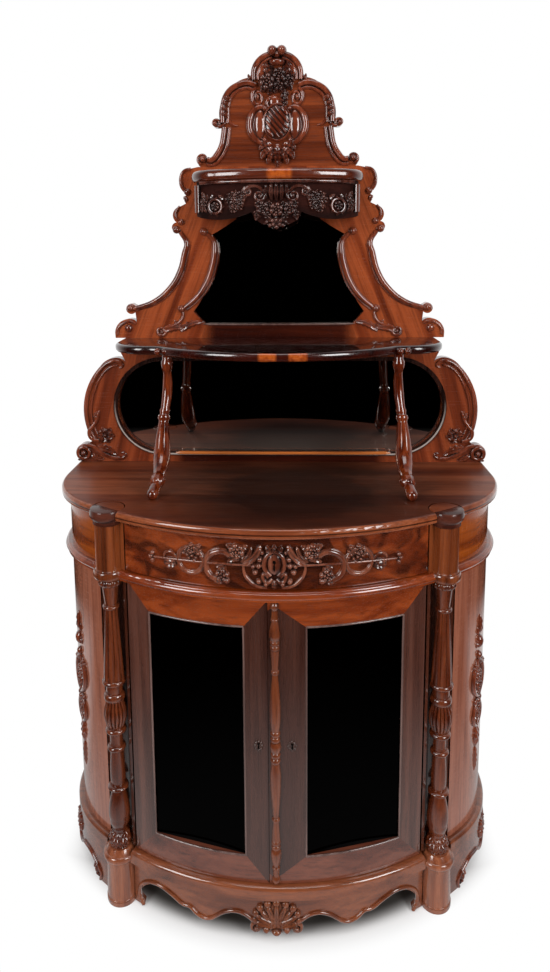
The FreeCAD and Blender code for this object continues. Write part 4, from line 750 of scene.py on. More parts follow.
frieze = Carving()
for frieze.hand in (-1, 1):
    frieze.stem([(272, 931), (180, 935), (20, 936)], 2.8, 3)
    for turn in (-75, 0, 75):
        lobe = math.radians(turn)
        frieze.ball(275 + 6 * math.cos(lobe), 931 + 9 * math.sin(lobe), 6, 5, 6, 2, turn)
    frieze.stem([(249, 930), (246, 944), (234, 949), (222, 942), (219, 930)], [2.5, 3.4, 3.8, 3.4, 2.5])
    frieze.leaf((234, 936), (234, 907), 25, 9, lobes=4)
    frieze.leaf((228, 935), (221, 915), 10, 7, lobes=3)
    frieze.leaf((240, 935), (247, 915), 10, 7, lobes=3)
    hoop = round_points(186, 936, 29)
    scroll = [(96, 956), (110, 963), (128, 962), (144, 952), (152, 936), (149, 918), (139, 904), (126, 898)]
    for line, width in ((hoop, 4.6), (scroll, 6.2)):
        for gap, share in ((0, 1), (0.8 * width, 0.45), (-0.8 * width, 0.45)):
            frieze.stem(beside(line, gap), width * share)
    frieze.berries(180, 956, 25, 19, 11, 16)
    frieze.leaf((176, 950), (162, 975), 15, 8, bow=-3, lobes=4)
    frieze.leaf((186, 944), (204, 956), 14, 7, bow=3, lobes=4)
    frieze.rose(184, 964, 13, 12, 5)
    frieze.leaf((134, 906), (110, 892), 18, 9, bow=4, lobes=3)
    frieze.leaf((128, 930), (104, 914), 18, 9, bow=-4, lobes=3)
    frieze.rose(114, 908, 18, 12, 5)
    frieze.ball(104, 897, 7, 8, 9)
    frieze.leaf((104, 940), (72, 947), 12, 7, bow=-3, lobes=4)
    frieze.rose(82, 967, 20, 13, 6)
    for tip in ((106, 980), (58, 981), (62, 952), (104, 950), (82, 945), (82, 983)):
        frieze.leaf((82, 966), tip, 17, 8, bow=2, lobes=4)
    frieze.leaf((70, 936), (28, 984), 21, 13, bow=7, lobes=1, curl=4)
    frieze.leaf((74, 940), (48, 980), 14, 10, bow=6, lobes=1, curl=3)
    frieze.stem([(68, 934), (66, 918), (54, 899), (38, 888), (16, 884)], [3, 4, 4.5, 4.2, 3.5])
    for u, w, size in ((42, 920, 7), (34, 899, 7), (34, 935, 7), (32, 950, 7), (26, 966, 6), (46, 934, 6),
                       (18, 893, 6)):
        frieze.ball(u, w, size, size, 9)
    frieze.stem([(14, 908), (22, 916), (24, 904), (14, 896), (4, 904)], [3.5, 4.5, 4.5, 4.5, 3.5])
    frieze.stem([(8, 912), (20, 926), (21, 948), (12, 962), (2, 968)], [4, 5, 5.5, 5, 4])
    frieze.leaf((2, 964), (17, 983), 15, 9, bow=-4, lobes=4)
frieze.hand = 1
frieze.ball(0, 938, 15, 24, 5)
frieze.leaf((0, 962), (0, 984), 14, 10, lobes=3)
frieze.leaf((0, 902), (0, 880), 13, 9, lobes=3)
spray_wood = carved_wood("Carved rosewood spray", stains((54, 25, 17), (98, 51, 36), (130, 76, 57)))
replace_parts(frieze.lay("frieze_spray", on_bow(FACE_INSET), spray_wood, "drawer"), "frieze_carving")
keyhole = Carving()
keyhole.ball(0, 944, 4, 5, 9)
keyhole.ball(0, 932, 2.6, 11, 8.4)
# The keyholes are near-black pieces: painted shade standing in for the holes.
black = new_finish("Keyhole")
dust = black.noise(black.place(), 200.0)
keyhole_shade = black.wear({"Base Color": black.mix(dust, (0.001, 0.001, 0.001), (0.006, 0.004, 0.003)),
                            "Roughness": 0.9, "Specular IOR Level": 0.0})
keyhole.lay("drawer_keyhole", on_bow(FACE_INSET), keyhole_shade, "drawer")

# Doors: mitred rosewood frames, the grain along each rail and stile, round flat panes of glass held by
# beads, with a keyhole in a small rosette on each meeting stile. The right one carries a split turning
# over the meeting line.

PANE_IN, PANE_OUT, PANE_FOOT, PANE_HEAD = 70, 292, 221, 790
STILE, FOOT_RAIL, HEAD_RAIL = 55, 69, 63
DOOR_MIDDLE = 0.5


def door_wood(name, meeting):
    """The frame's grain, which changes direction at the mitres, with painted shade on the stiles toward the
    middle; meeting is the meeting edge's |x|.
    """
    finish = new_finish(name)
    place = finish.place()
    across, height = abs(place.part("X")), place.part("Z")
    outer = (across - PANE_OUT * mm) / (STILE * mm)
    inner = (PANE_IN * mm - across) / (PANE_IN * mm - meeting)
    lower = (PANE_FOOT * mm - height) / (FOOT_RAIL * mm)
    upper = (height - PANE_HEAD * mm) / (HEAD_RAIL * mm)
    rail = lower.most(upper) > outer.most(inner)
    upright, upright_pore = figured(finish, place, "z", stains((46, 27, 22), (72, 43, 35), (92, 58, 48)))
    top, top_pore = figured(finish, place, "x", ORANGE)
    foot = figured(finish, place, "x", stains((48, 23, 16), (90, 46, 33), (112, 63, 47)))[0]
    pore = rail * top_pore + (1 - rail) * upright_pore
    colour = finish.mix(rail, upright, finish.mix(height > DOOR_MIDDLE, foot, top))
    # Painted shade: the stiles are darker toward the meeting line.
    painted_shade = across.fade(0.06, 0.3, 0.5, 0.0)
    colour = finish.mix(painted_shade * (1 - rail), colour, stain(34, 14, 8))
    return finish.wear({**POLISH, "Base Color": colour, "Roughness": 0.2 + pore * 0.14})


def glass_painted_dark(name):
    """Glass painted almost black as the shade of the unlit cupboard behind it, with a faint waviness."""
    finish = new_finish(name)
    ripple = finish.noise(finish.place(), 5.0, 1.0)
    colour = finish.mix(ripple, stain(0, 0, 0), stain(4, 3, 3))
    bump = finish.node("ShaderNodeBump", None, {"Strength": 0.02, "Distance": 0.002, "Height": ripple})
    return finish.wear({"Base Color": colour, "Roughness": 0.04, "Specular IOR Level": 0.02, "Normal": bump})


paint(door_wood("Left door frame", 0.0165), "left_door_frame")
paint(door_wood("Right door frame", -0.0155), "right_door_frame")
# The panes are painted almost black: painted shade of the cupboard behind them.
paint(glass_painted_dark("Door glass painted dark"), "left_door_glass", "right_door_glass")
paint(rosewood("Rosewood beads", "z", BROWN, 2.0), "left_door_beads", "right_door_beads")
escutcheon_wood = rosewood("Escutcheons", "z", stains((30, 17, 14), (46, 27, 22), (66, 42, 35)), 3.0)
paint(escutcheon_wood, "left_door_escutcheon", "right_door_escutcheon")
# The sight beads and the mirror rest are painted pale: a painted highlight on thin beads.
highlight_bead_wood = rosewood("Rosewood beads painted pale as highlights", "z", stains((52, 36, 32), (84, 62, 57), (108, 84, 78)), 2.0)
KEYHOLE_X = 38
SIGHT_RADIUS = 2.4
for side, sign in HANDS:
    hole = Carving()
    hole.ball(KEYHOLE_X * sign, 509, 3.4, 3.8, 4)
    hole.ball(KEYHOLE_X * sign, 500, 2.2, 8, 3.6)
    hole.lay(side + "_keyhole", on_bow(FACE_INSET), keyhole_shade, side + "_door")
    rosette = Carving()
    for u, w in round_points(KEYHOLE_X * sign, 504, 8, 10, 0, 360, 45):
        rosette.ball(u, w, 3.6, 3.6, 3.4)
    rosette.lay(side + "_rosette", on_bow(FACE_INSET), escutcheon_wood, side + "_door")
    sight = Carving()
    sight.hand = sign
    for u in (PANE_IN, PANE_OUT):
        sight.stem([(u, PANE_FOOT), (u, PANE_HEAD)], SIGHT_RADIUS, 0)
    for w in (PANE_FOOT, PANE_HEAD):
        sight.stem([(PANE_IN, w), (180, w), (PANE_OUT, w)], SIGHT_RADIUS, 0)
    sight.lay(side + "_sight_bead", on_bow(FACE_INSET), highlight_bead_wood, side + "_door")
spindle_half = [
    belly(22, 4, 10, 0.5, 6), straight(18, 7, 8), bead(6, 9.5, 7.5), belly(46, 7, 12.5, 0.75, 9),
    bead(11.5, 11, 8), bead(11.5, 11, 8), straight(48, 10, 7), bead(10, 9.5, 7),
    belly(137, 6.5, 12.5, 0.75, 9.5), bead(14, 11.5, 8), bead(14, 11.5, 8), belly(12.5, 10, 12.5, 0.98, 12.4),
]
spindle_members = spindle_half + [[(member[-1][0] - rise, radius) for rise, radius in reversed(member)]
                                  for member in reversed(spindle_half)]
SPINDLE_Y = -240
SPINDLE_FOOT = 152
SPLIT_Y = -0.2385
spindle = turned(spindle_members, 0, SPINDLE_Y, SPINDLE_FOOT, 48)
whole = list(spindle.verts) + list(spindle.edges) + list(spindle.faces)
split = bmesh.ops.bisect_plane(spindle, geom=whole, plane_co=(0, SPLIT_Y, 0), plane_no=(0, 1, 0),
                               clear_outer=True)
bmesh.ops.holes_fill(spindle, edges=[cut for cut in split["geom_cut"] if isinstance(cut, bmesh.types.BMEdge)])
spindle_wood = rosewood("Rosewood spindle", "z", stains((50, 21, 11), (88, 42, 24), (114, 60, 36)), 2.0)
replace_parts(piece("spindle_turning", spindle, spindle_wood, "right_door", 30), "meeting_spindle")

# Lower back panel: a shaped rosewood board that stands on the cabinet top, cut for a stadium mirror in
# a dark bead over a pale sill. A double moulding follows its ears and ends in a curl, over a rosette,
# a leaf and a turned volute button.

MIRROR_END = 0.322
MIRROR_LEVEL = 1.183
HIGHLIGHT_RADIUS = 0.135
BOARD_FACE = 0.230


def silvering(name):
    """An old mirror plate, silvered on the back, slightly grey, with dust along its foot tinted brown as a
    painted reflection of the top.
    """
    finish = new_finish(name)
    place = finish.place()
    haze = finish.noise(place, 9.0, 4.0)
    colour = finish.mix(haze, stain(178, 176, 172), stain(206, 204, 200))
    # Dust and painted reflection: a brown film, less metallic, along the foot of the plate.
    dust = place.part("Z").fade(1.05, 1.12, 0.07, 0.0)
    colour = finish.mix(dust * 7.0, colour, stain(206, 160, 130))
    return finish.wear({"Metallic": 1 - dust, "Base Color": colour, "Roughness": 0.01 + haze * 0.03})


def board_wood(name, tones, lean, half, top):
    """A back board: grain that leans in to the middle, and a dark rail under its mirror up to a top."""
    finish = new_finish(name)
    place = finish.place()
    across, height = abs(place.part("X")), place.part("Z")
    leaning = finish.node("ShaderNodeCombineXYZ", None, {"X": across + height * lean, "Z": height})
    board, pore = figured(finish, leaning, "z", tones)
    rail, fine = figured(finish, place, "x", stains((24, 8, 5), (46, 17, 10), (66, 27, 16)))
    inside = across.fade(half - 0.03, half + 0.03, 1.0, 0.0, True)
    colour = finish.mix(inside * (1 - (height > top)), board, rail)
    return finish.wear({**POLISH, "Base Color": colour, "Roughness": 0.2 + (pore + fine) * 0.07})


def bead_wood(name):
    """The dark bead round the lower mirror, with a painted highlight: a bright line low on its round ends."""
    finish = new_finish(name)
    place = finish.place()
    colour, pore = figured(finish, place, "z", stains((16, 9, 7), (34, 18, 14), (52, 30, 24)), 2.0)
    drop = MIRROR_LEVEL - place.part("Z")
    end = (abs(place.part("X")) - MIRROR_END).most(0.0)
    round_end = end * end + drop * drop
    # Painted highlight: a bright line low on the bead's round ends.
    line = abs(round_end.sum("SQRT", round_end) - HIGHLIGHT_RADIUS).fade(0.0012, 0.0028, 0.85, 0.0)
    low = drop.fade(-0.02, 0.06, 0.0, 1.0)
    colour = finish.mix(line * low, colour, stain(176, 164, 156))
    return finish.wear({**POLISH, "Base Color": colour, "Roughness": 0.2 + pore * 0.14})


def on_board(y):
    """An upright board whose face is at y."""
    def ground(u, w, v):
        return u, y - v, w
    return ground


DARK_RED = stains((56, 23, 13), (110, 49, 28), (142, 68, 39))
paint(board_wood("Rosewood lower panel", DARK_RED, 0.25, 0.29, 1.056), "lower_back_panel")
paint(silvering("Mirror plate"), "lower_mirror", "upper_mirror")
paint(inner_up, "mirror_backs")
paint(bead_wood("Mirror bead"), "lower_mirror_bead")
ears = Carving()
for ears.hand in (-1, 1):
    edge = [(516, 1084), (529, 1112), (538, 1150), (537, 1190), (526, 1232), (507, 1270), (488, 1294),
            (468, 1307), (450, 1311), (436, 1306), (432, 1297), (440, 1291)]
    ears.stem(edge, [3.5, 4.5, 5, 5, 5, 5, 5, 5, 5, 4.6, 4, 3])
    ears.stem(beside(edge[:9], 13), 3.2)
    ears.stem(round_points(551, 1049, 16), 5.5, 3)
    ears.ball(551, 1049, 9.5, 9.5, 13)
    ears.stem([(540, 1072), (524, 1068), (508, 1056), (486, 1042), (456, 1034), (436, 1038), (434, 1048),
               (444, 1050)], [6, 6.5, 7, 6.5, 5.5, 4.5, 4, 3])
    ears.leaf((520, 1062), (456, 1042), 22, 10, bow=-7, lobes=5)
    ears.leaf((532, 1046), (494, 1029), 16, 8, bow=3, lobes=4)
    ears.leaf((552, 1028), (570, 1028), 10, 6, bow=2, lobes=3)
    for tip in round_points(487, 1100, 25, 25, 0, 360, 60):
        ears.leaf((487, 1100), tip, 18, 11, bow=6, lobes=2)
    ears.ball(487, 1100, 6, 6, 13)
    ears.stem([(506, 1084), (527, 1090), (533, 1110), (522, 1128), (512, 1146), (519, 1163)],
              [5, 6, 6.5, 6, 5, 3])
    ears.leaf((512, 1138), (502, 1170), 16, 8, bow=-4, lobes=3)
ears.lay("ear_mouldings", on_board(BOARD_FACE), carving)
sill = Carving()
sill.stem([(-296, 1052), (-276, 1051), (296, 1051), (316, 1052)], [1, 5, 5, 1], 4)
sill_wood = rosewood("Rosewood sill", "x", stains((124, 58, 22), (168, 88, 38), (190, 110, 54)))
sill.lay("mirror_sill", on_board(BOARD_FACE), sill_wood)

# Shelf supports: carved S-legs of rosewood from the cabinet top to the middle shelf, with a blunt toe, an
# ankle collar, a swelling thigh, a ring collar and a slender neck under a knob.

LEG_SPLAY = ((0, 1.0), (14, 1.0), (36, 0.6), (70, 0.65), (120, 0.68), (170, 0.58), (235, 0.1), (280, 0.05),
             (329, 0.0))


def splayed(height):
    """The share of its splay that a leg has at a height."""
    for (start, low), (end, high) in zip(LEG_SPLAY, LEG_SPLAY[1:]):
        if height <= end:
            return low + (high - low) * (height - start) / (end - start)


def swept(stations, x, lean, steps=28):
    """A carved leg: each station has its height over the table, its y, its radius and its fluting."""
    bm = bmesh.new()
    ring = bmesh.ops.create_circle(bm, cap_ends=True, radius=1, segments=steps)["verts"]
    for index, (height, y, radius, flute) in enumerate(stations):
        if index:
            edges = {edge for vert in ring for edge in vert.link_edges if edge.other_vert(vert) in ring}
            grown = bmesh.ops.extrude_edge_only(bm, edges=list(edges))["geom"]
            ring = [item for item in grown if isinstance(item, bmesh.types.BMVert)]
        before, after = stations[max(index - 1, 0)], stations[min(index + 1, len(stations) - 1)]
        along = Vector((0, after[1] - before[1], after[0] - before[0])).normalized()
        out = along.cross(Vector((1, 0, 0)))
        middle = Vector((x + lean * splayed(height), y, TABLE_LEVEL / mm + height))
        for number, vert in enumerate(ring):
            turn = math.tau * number / steps
            reach = radius * (1 - flute * 0.16 * (1 - abs(math.cos(turn * 5))))
            vert.co = middle + Vector((1, 0, 0)) * reach * math.cos(turn) + out * reach * math.sin(turn)
    bmesh.ops.holes_fill(bm, edges=[edge for edge in bm.edges if edge.is_boundary])
    bmesh.ops.recalc_face_normals(bm, faces=bm.faces)
    bmesh.ops.scale(bm, vec=(mm, mm, mm), verts=bm.verts)
    return bm


leg_stations = [
    (8, -87, 4, 0), (8.5, -85, 9, 0), (10, -80, 12.5, 0), (13, -74, 14, 0), (18, -64, 13.4, 0),
    (25, -52, 12.6, 0), (27, -49, 16.5, 1), (31, -44, 19, 1), (37, -37, 19, 1), (40, -31, 16, 0.6),
    (44, -23, 15.6, 0.6), (50, -10, 17.8, 0.7), (60, 5, 20.2, 0.5), (74, 20, 21.4, 0.4),
    (92, 31, 21, 0.4), (114, 39, 19.2, 0.4), (138, 47, 16.4, 0.6), (155, 54, 13.6, 0.6),
    (161, 56, 12.6, 0), (163, 57, 14.8, 0), (168, 59, 16.4, 0), (173, 61, 14.8, 0), (175, 62, 12.2, 0),
    (180, 63, 12, 0), (186, 65, 14, 0), (192, 66, 11.5, 0), (220, 74, 12.8, 0), (255, 78, 12.6, 0),
    (280, 74, 10.8, 0), (290, 71, 11.5, 0), (296, 70, 14.5, 0), (304, 69, 15.5, 0), (312, 69, 14.5, 0),
    (317, 69, 11.5, 0), (329, 69, 12.5, 0),
]
support_wood = carved_wood("Rosewood supports", stains((38, 13, 7), (82, 32, 16), (118, 53, 28)))
for side, foot_x, lean in (("left", -279, -17), ("right", 305, 17)):
    leg = piece("support_" + side, swept(leg_stations, foot_x, lean), support_wood, crease=45)
    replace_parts(leg, "shelf_support_" + side)

# Middle shelf: a rosewood board bowed between two round lobes, its front edge worked to a full round and
# veneered crosswise in the middle, with a pair of knobs over each support.


def eased(node, width, segments):
    """A CAD shelf with its edges rounded over, apart from those against the back board."""
    bm = bmesh.new()
    bm.from_mesh(nodes[node].data)
    bmesh.ops.remove_doubles(bm, verts=bm.verts, dist=1e-5)
    bmesh.ops.dissolve_limit(bm, angle_limit=math.radians(0.5), verts=bm.verts, edges=bm.edges)
    edges = [edge for edge in bm.edges if edge.is_manifold and edge.calc_face_angle() > 0.9
             and (edge.verts[0].co.y + edge.verts[1].co.y) / 2 < BOARD_FACE - mm]
    bmesh.ops.bevel(bm, geom=edges, offset=width, offset_type="OFFSET", segments=segments, profile=0.5,
                    affect="EDGES", clamp_overlap=True, material=-1)
    return bm


def shelf_wood(name, face, edge, top, bands):
    """A shelf's face over its top's height, its edge below, and bands of cross veneer on the front."""
    finish = new_finish(name)
    place = finish.place()
    upper, pore = figured(finish, place, "x", face)
    front, fine = figured(finish, place, "x", edge)
    cross = figured(finish, place, "y", stains((88, 34, 11), (144, 63, 22), (170, 82, 31)), 3.0)[0]
    for middle, half in bands:
        band = abs(place.part("X") - middle).fade(half * 0.7, half, 1.0, 0.0)
        front = finish.mix(band, front, cross)
    colour = finish.mix(place.part("Z") > top, front, upper)
    return finish.wear({**POLISH, "Base Color": colour, "Roughness": 0.2 + (pore + fine) * 0.07})


# The middle shelf's tones are very dark: the wood's own stain together with painted shade.
middle_wood = shelf_wood("Rosewood middle shelf", stains((15, 4, 2), (31, 8, 5), (48, 16, 10)),
                         stains((18, 5, 3), (38, 12, 7), (60, 21, 12)), 1.3735,
                         ((-0.020, 0.024), (0.0525, 0.025)))
middle = eased("middle_shelf", 0.009, 5)
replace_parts(piece("middle_shelf_board", middle, middle_wood), "middle_shelf")
SHELF_FRONT = 0.044
knobs = Carving()
for foot_x in (-289, 315):
    for gap in (-9, 9):
        knobs.ball(foot_x + gap, 1364, 8.5, 9, 9)
knobs.lay("shelf_knobs", on_board(SHELF_FRONT), support_wood)

# Upper back panel: a tall shaped rosewood board that stands on the middle shelf, with its mirror on a
# thin rest. Half-round C-scrolls with ball ends are glued on beside the mirror, an acanthus leaf rolls
# out of each lower corner, and small scrolls run up the edges.

RED = stains((60, 24, 14), (118, 52, 28), (152, 74, 41))
paint(board_wood("Rosewood upper panel", RED, 0.4, 0.2, 1.412), "upper_back_panel")
scrolls = Carving()
for scrolls.hand in (-1, 1):
    for path, balls in (
            (((398, 1455), (340, 1474), (293, 1512), (266, 1556), (252, 1606), (246, 1632), (263, 1662)),
             ((405, 1458), (273, 1668))),
            (((258, 1456), (224, 1484), (199, 1517), (180, 1562), (171, 1611), (173, 1637), (190, 1657)),
             ((264, 1455), (199, 1662)))):
        scrolls.stem(path, [6, 7.4, 8.2, 8.2, 8.2, 7.4, 6])
        scrolls.stem([(u - 9, w - 4) for u, w in path[:-1]], 3)
        for u, w in balls:
            scrolls.ball(u, w, 11, 11, 13)
    scrolls.leaf((322, 1392), (258, 1402), 20, 8, bow=-5, lobes=5)
    scrolls.leaf((270, 1392), (205, 1418), 18, 8, bow=-8, lobes=5)
    scrolls.volute(322, 1394, 14, 5, 180, 1.4, 1)
    scrolls.stem([(310, 1404), (280, 1412), (262, 1430), (262, 1452)], [5, 5, 4.5, 4])
    scrolls.leaf((262, 1405), (286, 1425), 14, 6, bow=-4, lobes=4)
    scrolls.stem([(444, 1384), (440, 1402), (424, 1416), (404, 1420), (392, 1414)], [4, 4.5, 4.5, 4.2, 3.5])
    scrolls.ball(412, 1402, 11, 11, 8)
    scrolls.stem([(230, 1827), (248, 1822), (258, 1804), (256, 1784), (246, 1772)], [4, 4.5, 4.5, 4.2, 3.6])
    scrolls.ball(241, 1767, 10, 10, 9)
    scrolls.leaf((250, 1756), (246, 1738), 12, 5, bow=-3, lobes=3)
    scrolls.stem([(262, 1730), (272, 1716), (272, 1700), (262, 1690)], [3.5, 4, 4, 3.5])
    scrolls.ball(259, 1688, 9, 9, 8)
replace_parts(scrolls.lay("scroll_carving", on_board(BOARD_FACE), carving), "scroll_mouldings")
# The rest is painted pale as a highlight.
rest = Carving()
rest.stem([(-208, 1413), (-190, 1412), (190, 1412), (208, 1413)], [1, 2.6, 2.6, 1], 1)
rest.lay("mirror_rest", on_board(BOARD_FACE), highlight_bead_wood)

# Top shelf: a small bowed rosewood board with a half-round, crossbanded edge, over a matt apron painted near
# black as shade. The apron carries a bead, strips at its ends, and a carved shell, garlands and rings of
# roses, glued on.

top_board = eased("top_shelf", 0.012, 6)
top_wood = shelf_wood("Rosewood top shelf", ORANGE, stains((40, 16, 9), (71, 30, 17), (92, 41, 24)), 1.8125,
                      ((0.008, 0.034),))
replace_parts(piece("top_shelf_board", top_board, top_wood), "top_shelf")


def shaded_matt_wood(name, tones):
    """Wood behind a carving, painted near black as the shade under the shelf, and matt."""
    finish = new_finish(name)
    colour, pore = figured(finish, finish.place(), "x", tones)
    return finish.wear({"Base Color": colour, "Roughness": 0.7 + pore * 0.2, "Specular IOR Level": 0.08})


# The apron is painted near black: painted shade under the shelf.
paint(shaded_matt_wood("Shelf apron in painted shade", stains((18, 8, 6), (34, 15, 11), (50, 23, 17))), "top_shelf_apron")


def on_shelf_front(u, w, v):
    """The bowed front of the top shelf's apron."""
    return u, 0.085 + 1.05 * u * u + 9.0 * u ** 4 - v, w


garland = Carving()
garland.stem([(u, 1781) for u in range(-196, 197, 28)], 4.5, 8)
for garland.hand in (-1, 1):
    garland.stem([(204, 1708), (204, 1740), (204, 1776)], 7, 2)
    garland.volute(42, 1746, 16, 5, 120, 1.5, 1)
    garland.stem([(33, 1757), (45, 1768), (62, 1770), (77, 1763), (83, 1752)], [4.5, 5, 5, 5, 4.5])
    garland.volute(71, 1757, 12, 4.5, 60, 1.4, -1)
    garland.leaf((12, 1776), (11, 1733), 15, 12, bow=2, lobes=2)
    garland.leaf((24, 1774), (24, 1738), 14, 11, bow=2, lobes=2)
    for u, w, size in ((84, 1752, 12), (96, 1744, 15), (110, 1748, 12), (88, 1734, 12), (104, 1728, 15),
                       (118, 1736, 12), (92, 1720, 11), (108, 1714, 11)):
        garland.rose(u, w, size, 12, 5)
    for tip in ((74, 1744), (80, 1724), (98, 1708), (122, 1716), (128, 1730), (124, 1752), (102, 1762)):
        garland.leaf((100, 1734), tip, 14, 8, bow=3, lobes=4)
    garland.stem(round_points(155, 1722, 17), 4, 4)
    garland.rose(155, 1722, 13, 13, 6)
    for start, tip in zip(*(round_points(155, 1722, reach, reach, 20, 360, 40) for reach in (17, 25))):
        garland.leaf(start, tip, 9, 7, lobes=2)
    garland.leaf((130, 1738), (146, 1750), 13, 7, lobes=3)
    garland.leaf((168, 1738), (158, 1752), 13, 7, lobes=3)
    for tip in ((190, 1760), (198, 1738), (190, 1708), (174, 1752), (178, 1708), (200, 1720), (172, 1730)):
        garland.leaf((185, 1732), tip, 16, 9, bow=3, lobes=4)
    garland.rose(185, 1732, 12, 12, 5)
    garland.rose(34, 1716, 19, 15, 6)
    for u, w, size in ((46, 1726, 10), (48, 1704, 10), (22, 1698, 11), (18, 1726, 9)):
        garland.rose(u, w, size, 13, 5)
    garland.leaf((40, 1700), (52, 1686), 15, 8, bow=3, lobes=4)
    garland.leaf((14, 1700), (32, 1676), 16, 9, bow=-3, lobes=4)
    garland.ball(10, 1685, 7, 7, 11)
    garland.ball(16, 1674, 6, 6, 10)
    garland.ball(24, 1682, 6, 6, 9)
garland.hand = 1
garland.leaf((0, 1778), (0, 1730), 16, 13, lobes=2)
garland.rose(0, 1712, 20, 18, 6)
garland.leaf((0, 1695), (0, 1667), 20, 11, lobes=4)
for u, w in ((0, 1686), (-8, 1676), (8, 1676), (0, 1670)):
    garland.ball(u, w, 6.5, 6.5, 12)
# A darker copy of the carved wood: painted shade on the garland and the posy.
shaded_carving = carved_wood("Carved rosewood in shade", stains((36, 17, 13), (68, 36, 29), (98, 58, 48)))
garland.lay("apron_garland", on_shelf_front, shaded_carving)

# Crest: a shaped rosewood board with a wide moulding that curls into volutes, carved in the middle with
# a gadrooned cartouche between C-brackets over a leaf drop. A posy of roses hangs from the hooded shell
# at its top.

crest_wood = rosewood("Rosewood crest", "x", stains((50, 21, 12), (100, 46, 26), (128, 62, 35)), 1.5)
paint(crest_wood, "crest_board")
CARTOUCHE = 1944
OVAL_U, OVAL_W = 30, 40
SLANT_U, SLANT_W = 0.64, -0.77
crest = Carving()
for crest.hand in (-1, 1):
    flank = [(186, 1846), (174, 1845), (156, 1862), (143, 1886), (138, 1909), (135, 1932)]
    shoulder = [(140, 1944), (139, 1965), (138, 1987), (126, 2017), (101, 2035), (76, 2040), (57, 2034)]
    for line in (flank, shoulder):
        crest.stem(beside(line, -4), 7.8, 3)
        crest.stem(beside(line, 9), 5.2, 1)
    crest.volute(51, 2008, 16, 6, 70, 1.5, -1, 1.55)
    crest.volute(198, 1852, 14, 5, -70, 1.3, 1)
    crest.ball(199, 1852, 9, 9, 13)
    crest.volute(162, 1943, 11, 4.5, 200, 1.2, -1)
    crest.ball(163, 1943, 6, 6, 10)
    crest.stem([(156, 1934), (146, 1936), (136, 1948)], [5, 5, 4])
    crest.stem([(128, 1950), (117, 1938), (104, 1936)], [4, 3.5, 2])
    for w, u in ((1962, 139), (1976, 139), (1990, 137), (2003, 132)):
        crest.leaf((u, w + 13), (u - 9, w - 8), 16, 10, bow=3, lobes=2, v=3)
        crest.leaf((u, w + 13), (u + 8, w - 8), 16, 10, bow=-3, lobes=2, v=3)
        crest.ball(u, w + 4, 5, 7, 13)
    bracket = [(31, 1980), (46, 1983), (62, 1973), (72, 1950), (72, 1926), (60, 1904), (43, 1892), (32, 1898)]
    crest.stem(bracket, [6, 7, 8, 8.5, 8.5, 8, 7, 5.5])
    crest.stem(beside(bracket[1:-1], -10), 3)
    crest.ball(46, 1939, 17, 40, 9)
    crest.ball(34, 1899, 8, 8, 12)
    crest.ball(33, 1979, 8, 8, 12)
    for start, tip, width, bow in (((14, 1890), (48, 1874), 24, 6), ((12, 1880), (44, 1850), 24, 5),
                                   ((8, 1872), (26, 1836), 20, 3)):
        crest.leaf(start, tip, width, 12, bow=bow, lobes=4, curl=4)
    crest.leaf((60, 2050), (76, 2066), 14, 8, bow=-4, lobes=2)
    hood = [(61, 2050), (61, 2070), (52, 2091), (36, 2106), (18, 2114)]
    crest.stem(hood, [6, 7, 8, 8, 7], 8)
    crest.stem(beside(hood, 11), 4, 8)
    crest.ball(38, 2076, 15, 26, 12, 0, 32)
    crest.leaf((18, 2062), (30, 2104), 18, 16, bow=-4, lobes=4)
    crest.ball(12, 2121, 14, 13.5, 24, 8)
crest.hand = 1
crest.ball(0, CARTOUCHE, 34, 45, 9)
crest.stem(round_points(0, CARTOUCHE, 35, 46), 3.2, 4)
for ridge in range(-3, 4):
    off_u, off_w = ridge * 6.2, ridge * 9.4
    squeeze = (SLANT_U / OVAL_U) ** 2 + (SLANT_W / OVAL_W) ** 2
    skew = (off_u * SLANT_U / OVAL_U ** 2 + off_w * SLANT_W / OVAL_W ** 2) / squeeze
    over = ((off_u / OVAL_U) ** 2 + (off_w / OVAL_W) ** 2 - 1) / squeeze
    half = math.sqrt(max(9, skew * skew - over))
    crest.stem([(off_u + SLANT_U * (reach - skew), CARTOUCHE + off_w + SLANT_W * (reach - skew))
                for reach in (-half, -half / 2, 0, half / 2, half)], [3, 4.8, 5.4, 4.8, 3], 8)
crest.leaf((0, 1890), (0, 1828), 26, 14, lobes=5, curl=3)
crest.ball(0, 2094, 24, 10, 20)
crest.ball(0, 2112, 9, 12, 24)
crest.stem([(-8, 2010), (-24, 2002), (-27, 1988), (-18, 1978)], [4, 6, 5, 3])
crest.ball(-8, 1996, 15, 17, 7)
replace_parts(crest.lay("crest_relief", on_board(BOARD_FACE), carving), "crest_carving")
posy = Carving()
posy.rose(-27, 2046, 24, 20, 6)
posy.rose(5, 2064, 20, 20, 6)
posy.rose(29, 2048, 18, 18, 5)
posy.rose(4, 2036, 15, 18, 5)
posy.berries(-2, 2030, 16, 10, 16, 9)
for start, tip in (((0, 2050), (-6, 2016)), ((16, 2048), (38, 2024)), ((-10, 2066), (-42, 2080)),
                   ((14, 2072), (40, 2084)), ((0, 2040), (18, 2014)), ((-30, 2040), (-44, 2020)),
                   ((-16, 2068), (-14, 2090)), ((30, 2058), (52, 2066)), ((-20, 2036), (-22, 2012))):
    posy.leaf(start, tip, 20, 15, bow=3, lobes=4)
posy.stem([(16, 2030), (22, 2014), (17, 2000), (20, 1984)], [5, 5, 4, 3])
for u, w in ((30, 2016), (10, 2010), (27, 2004), (10, 1998), (26, 1992), (14, 1986)):
    posy.leaf((19, w + 4), (u, w - 4), 12, 10, lobes=2)
    posy.ball((19 + u) / 2, w, 5, 5, 11)
posy.lay("crest_posy", on_board(BOARD_FACE), shaded_carving)

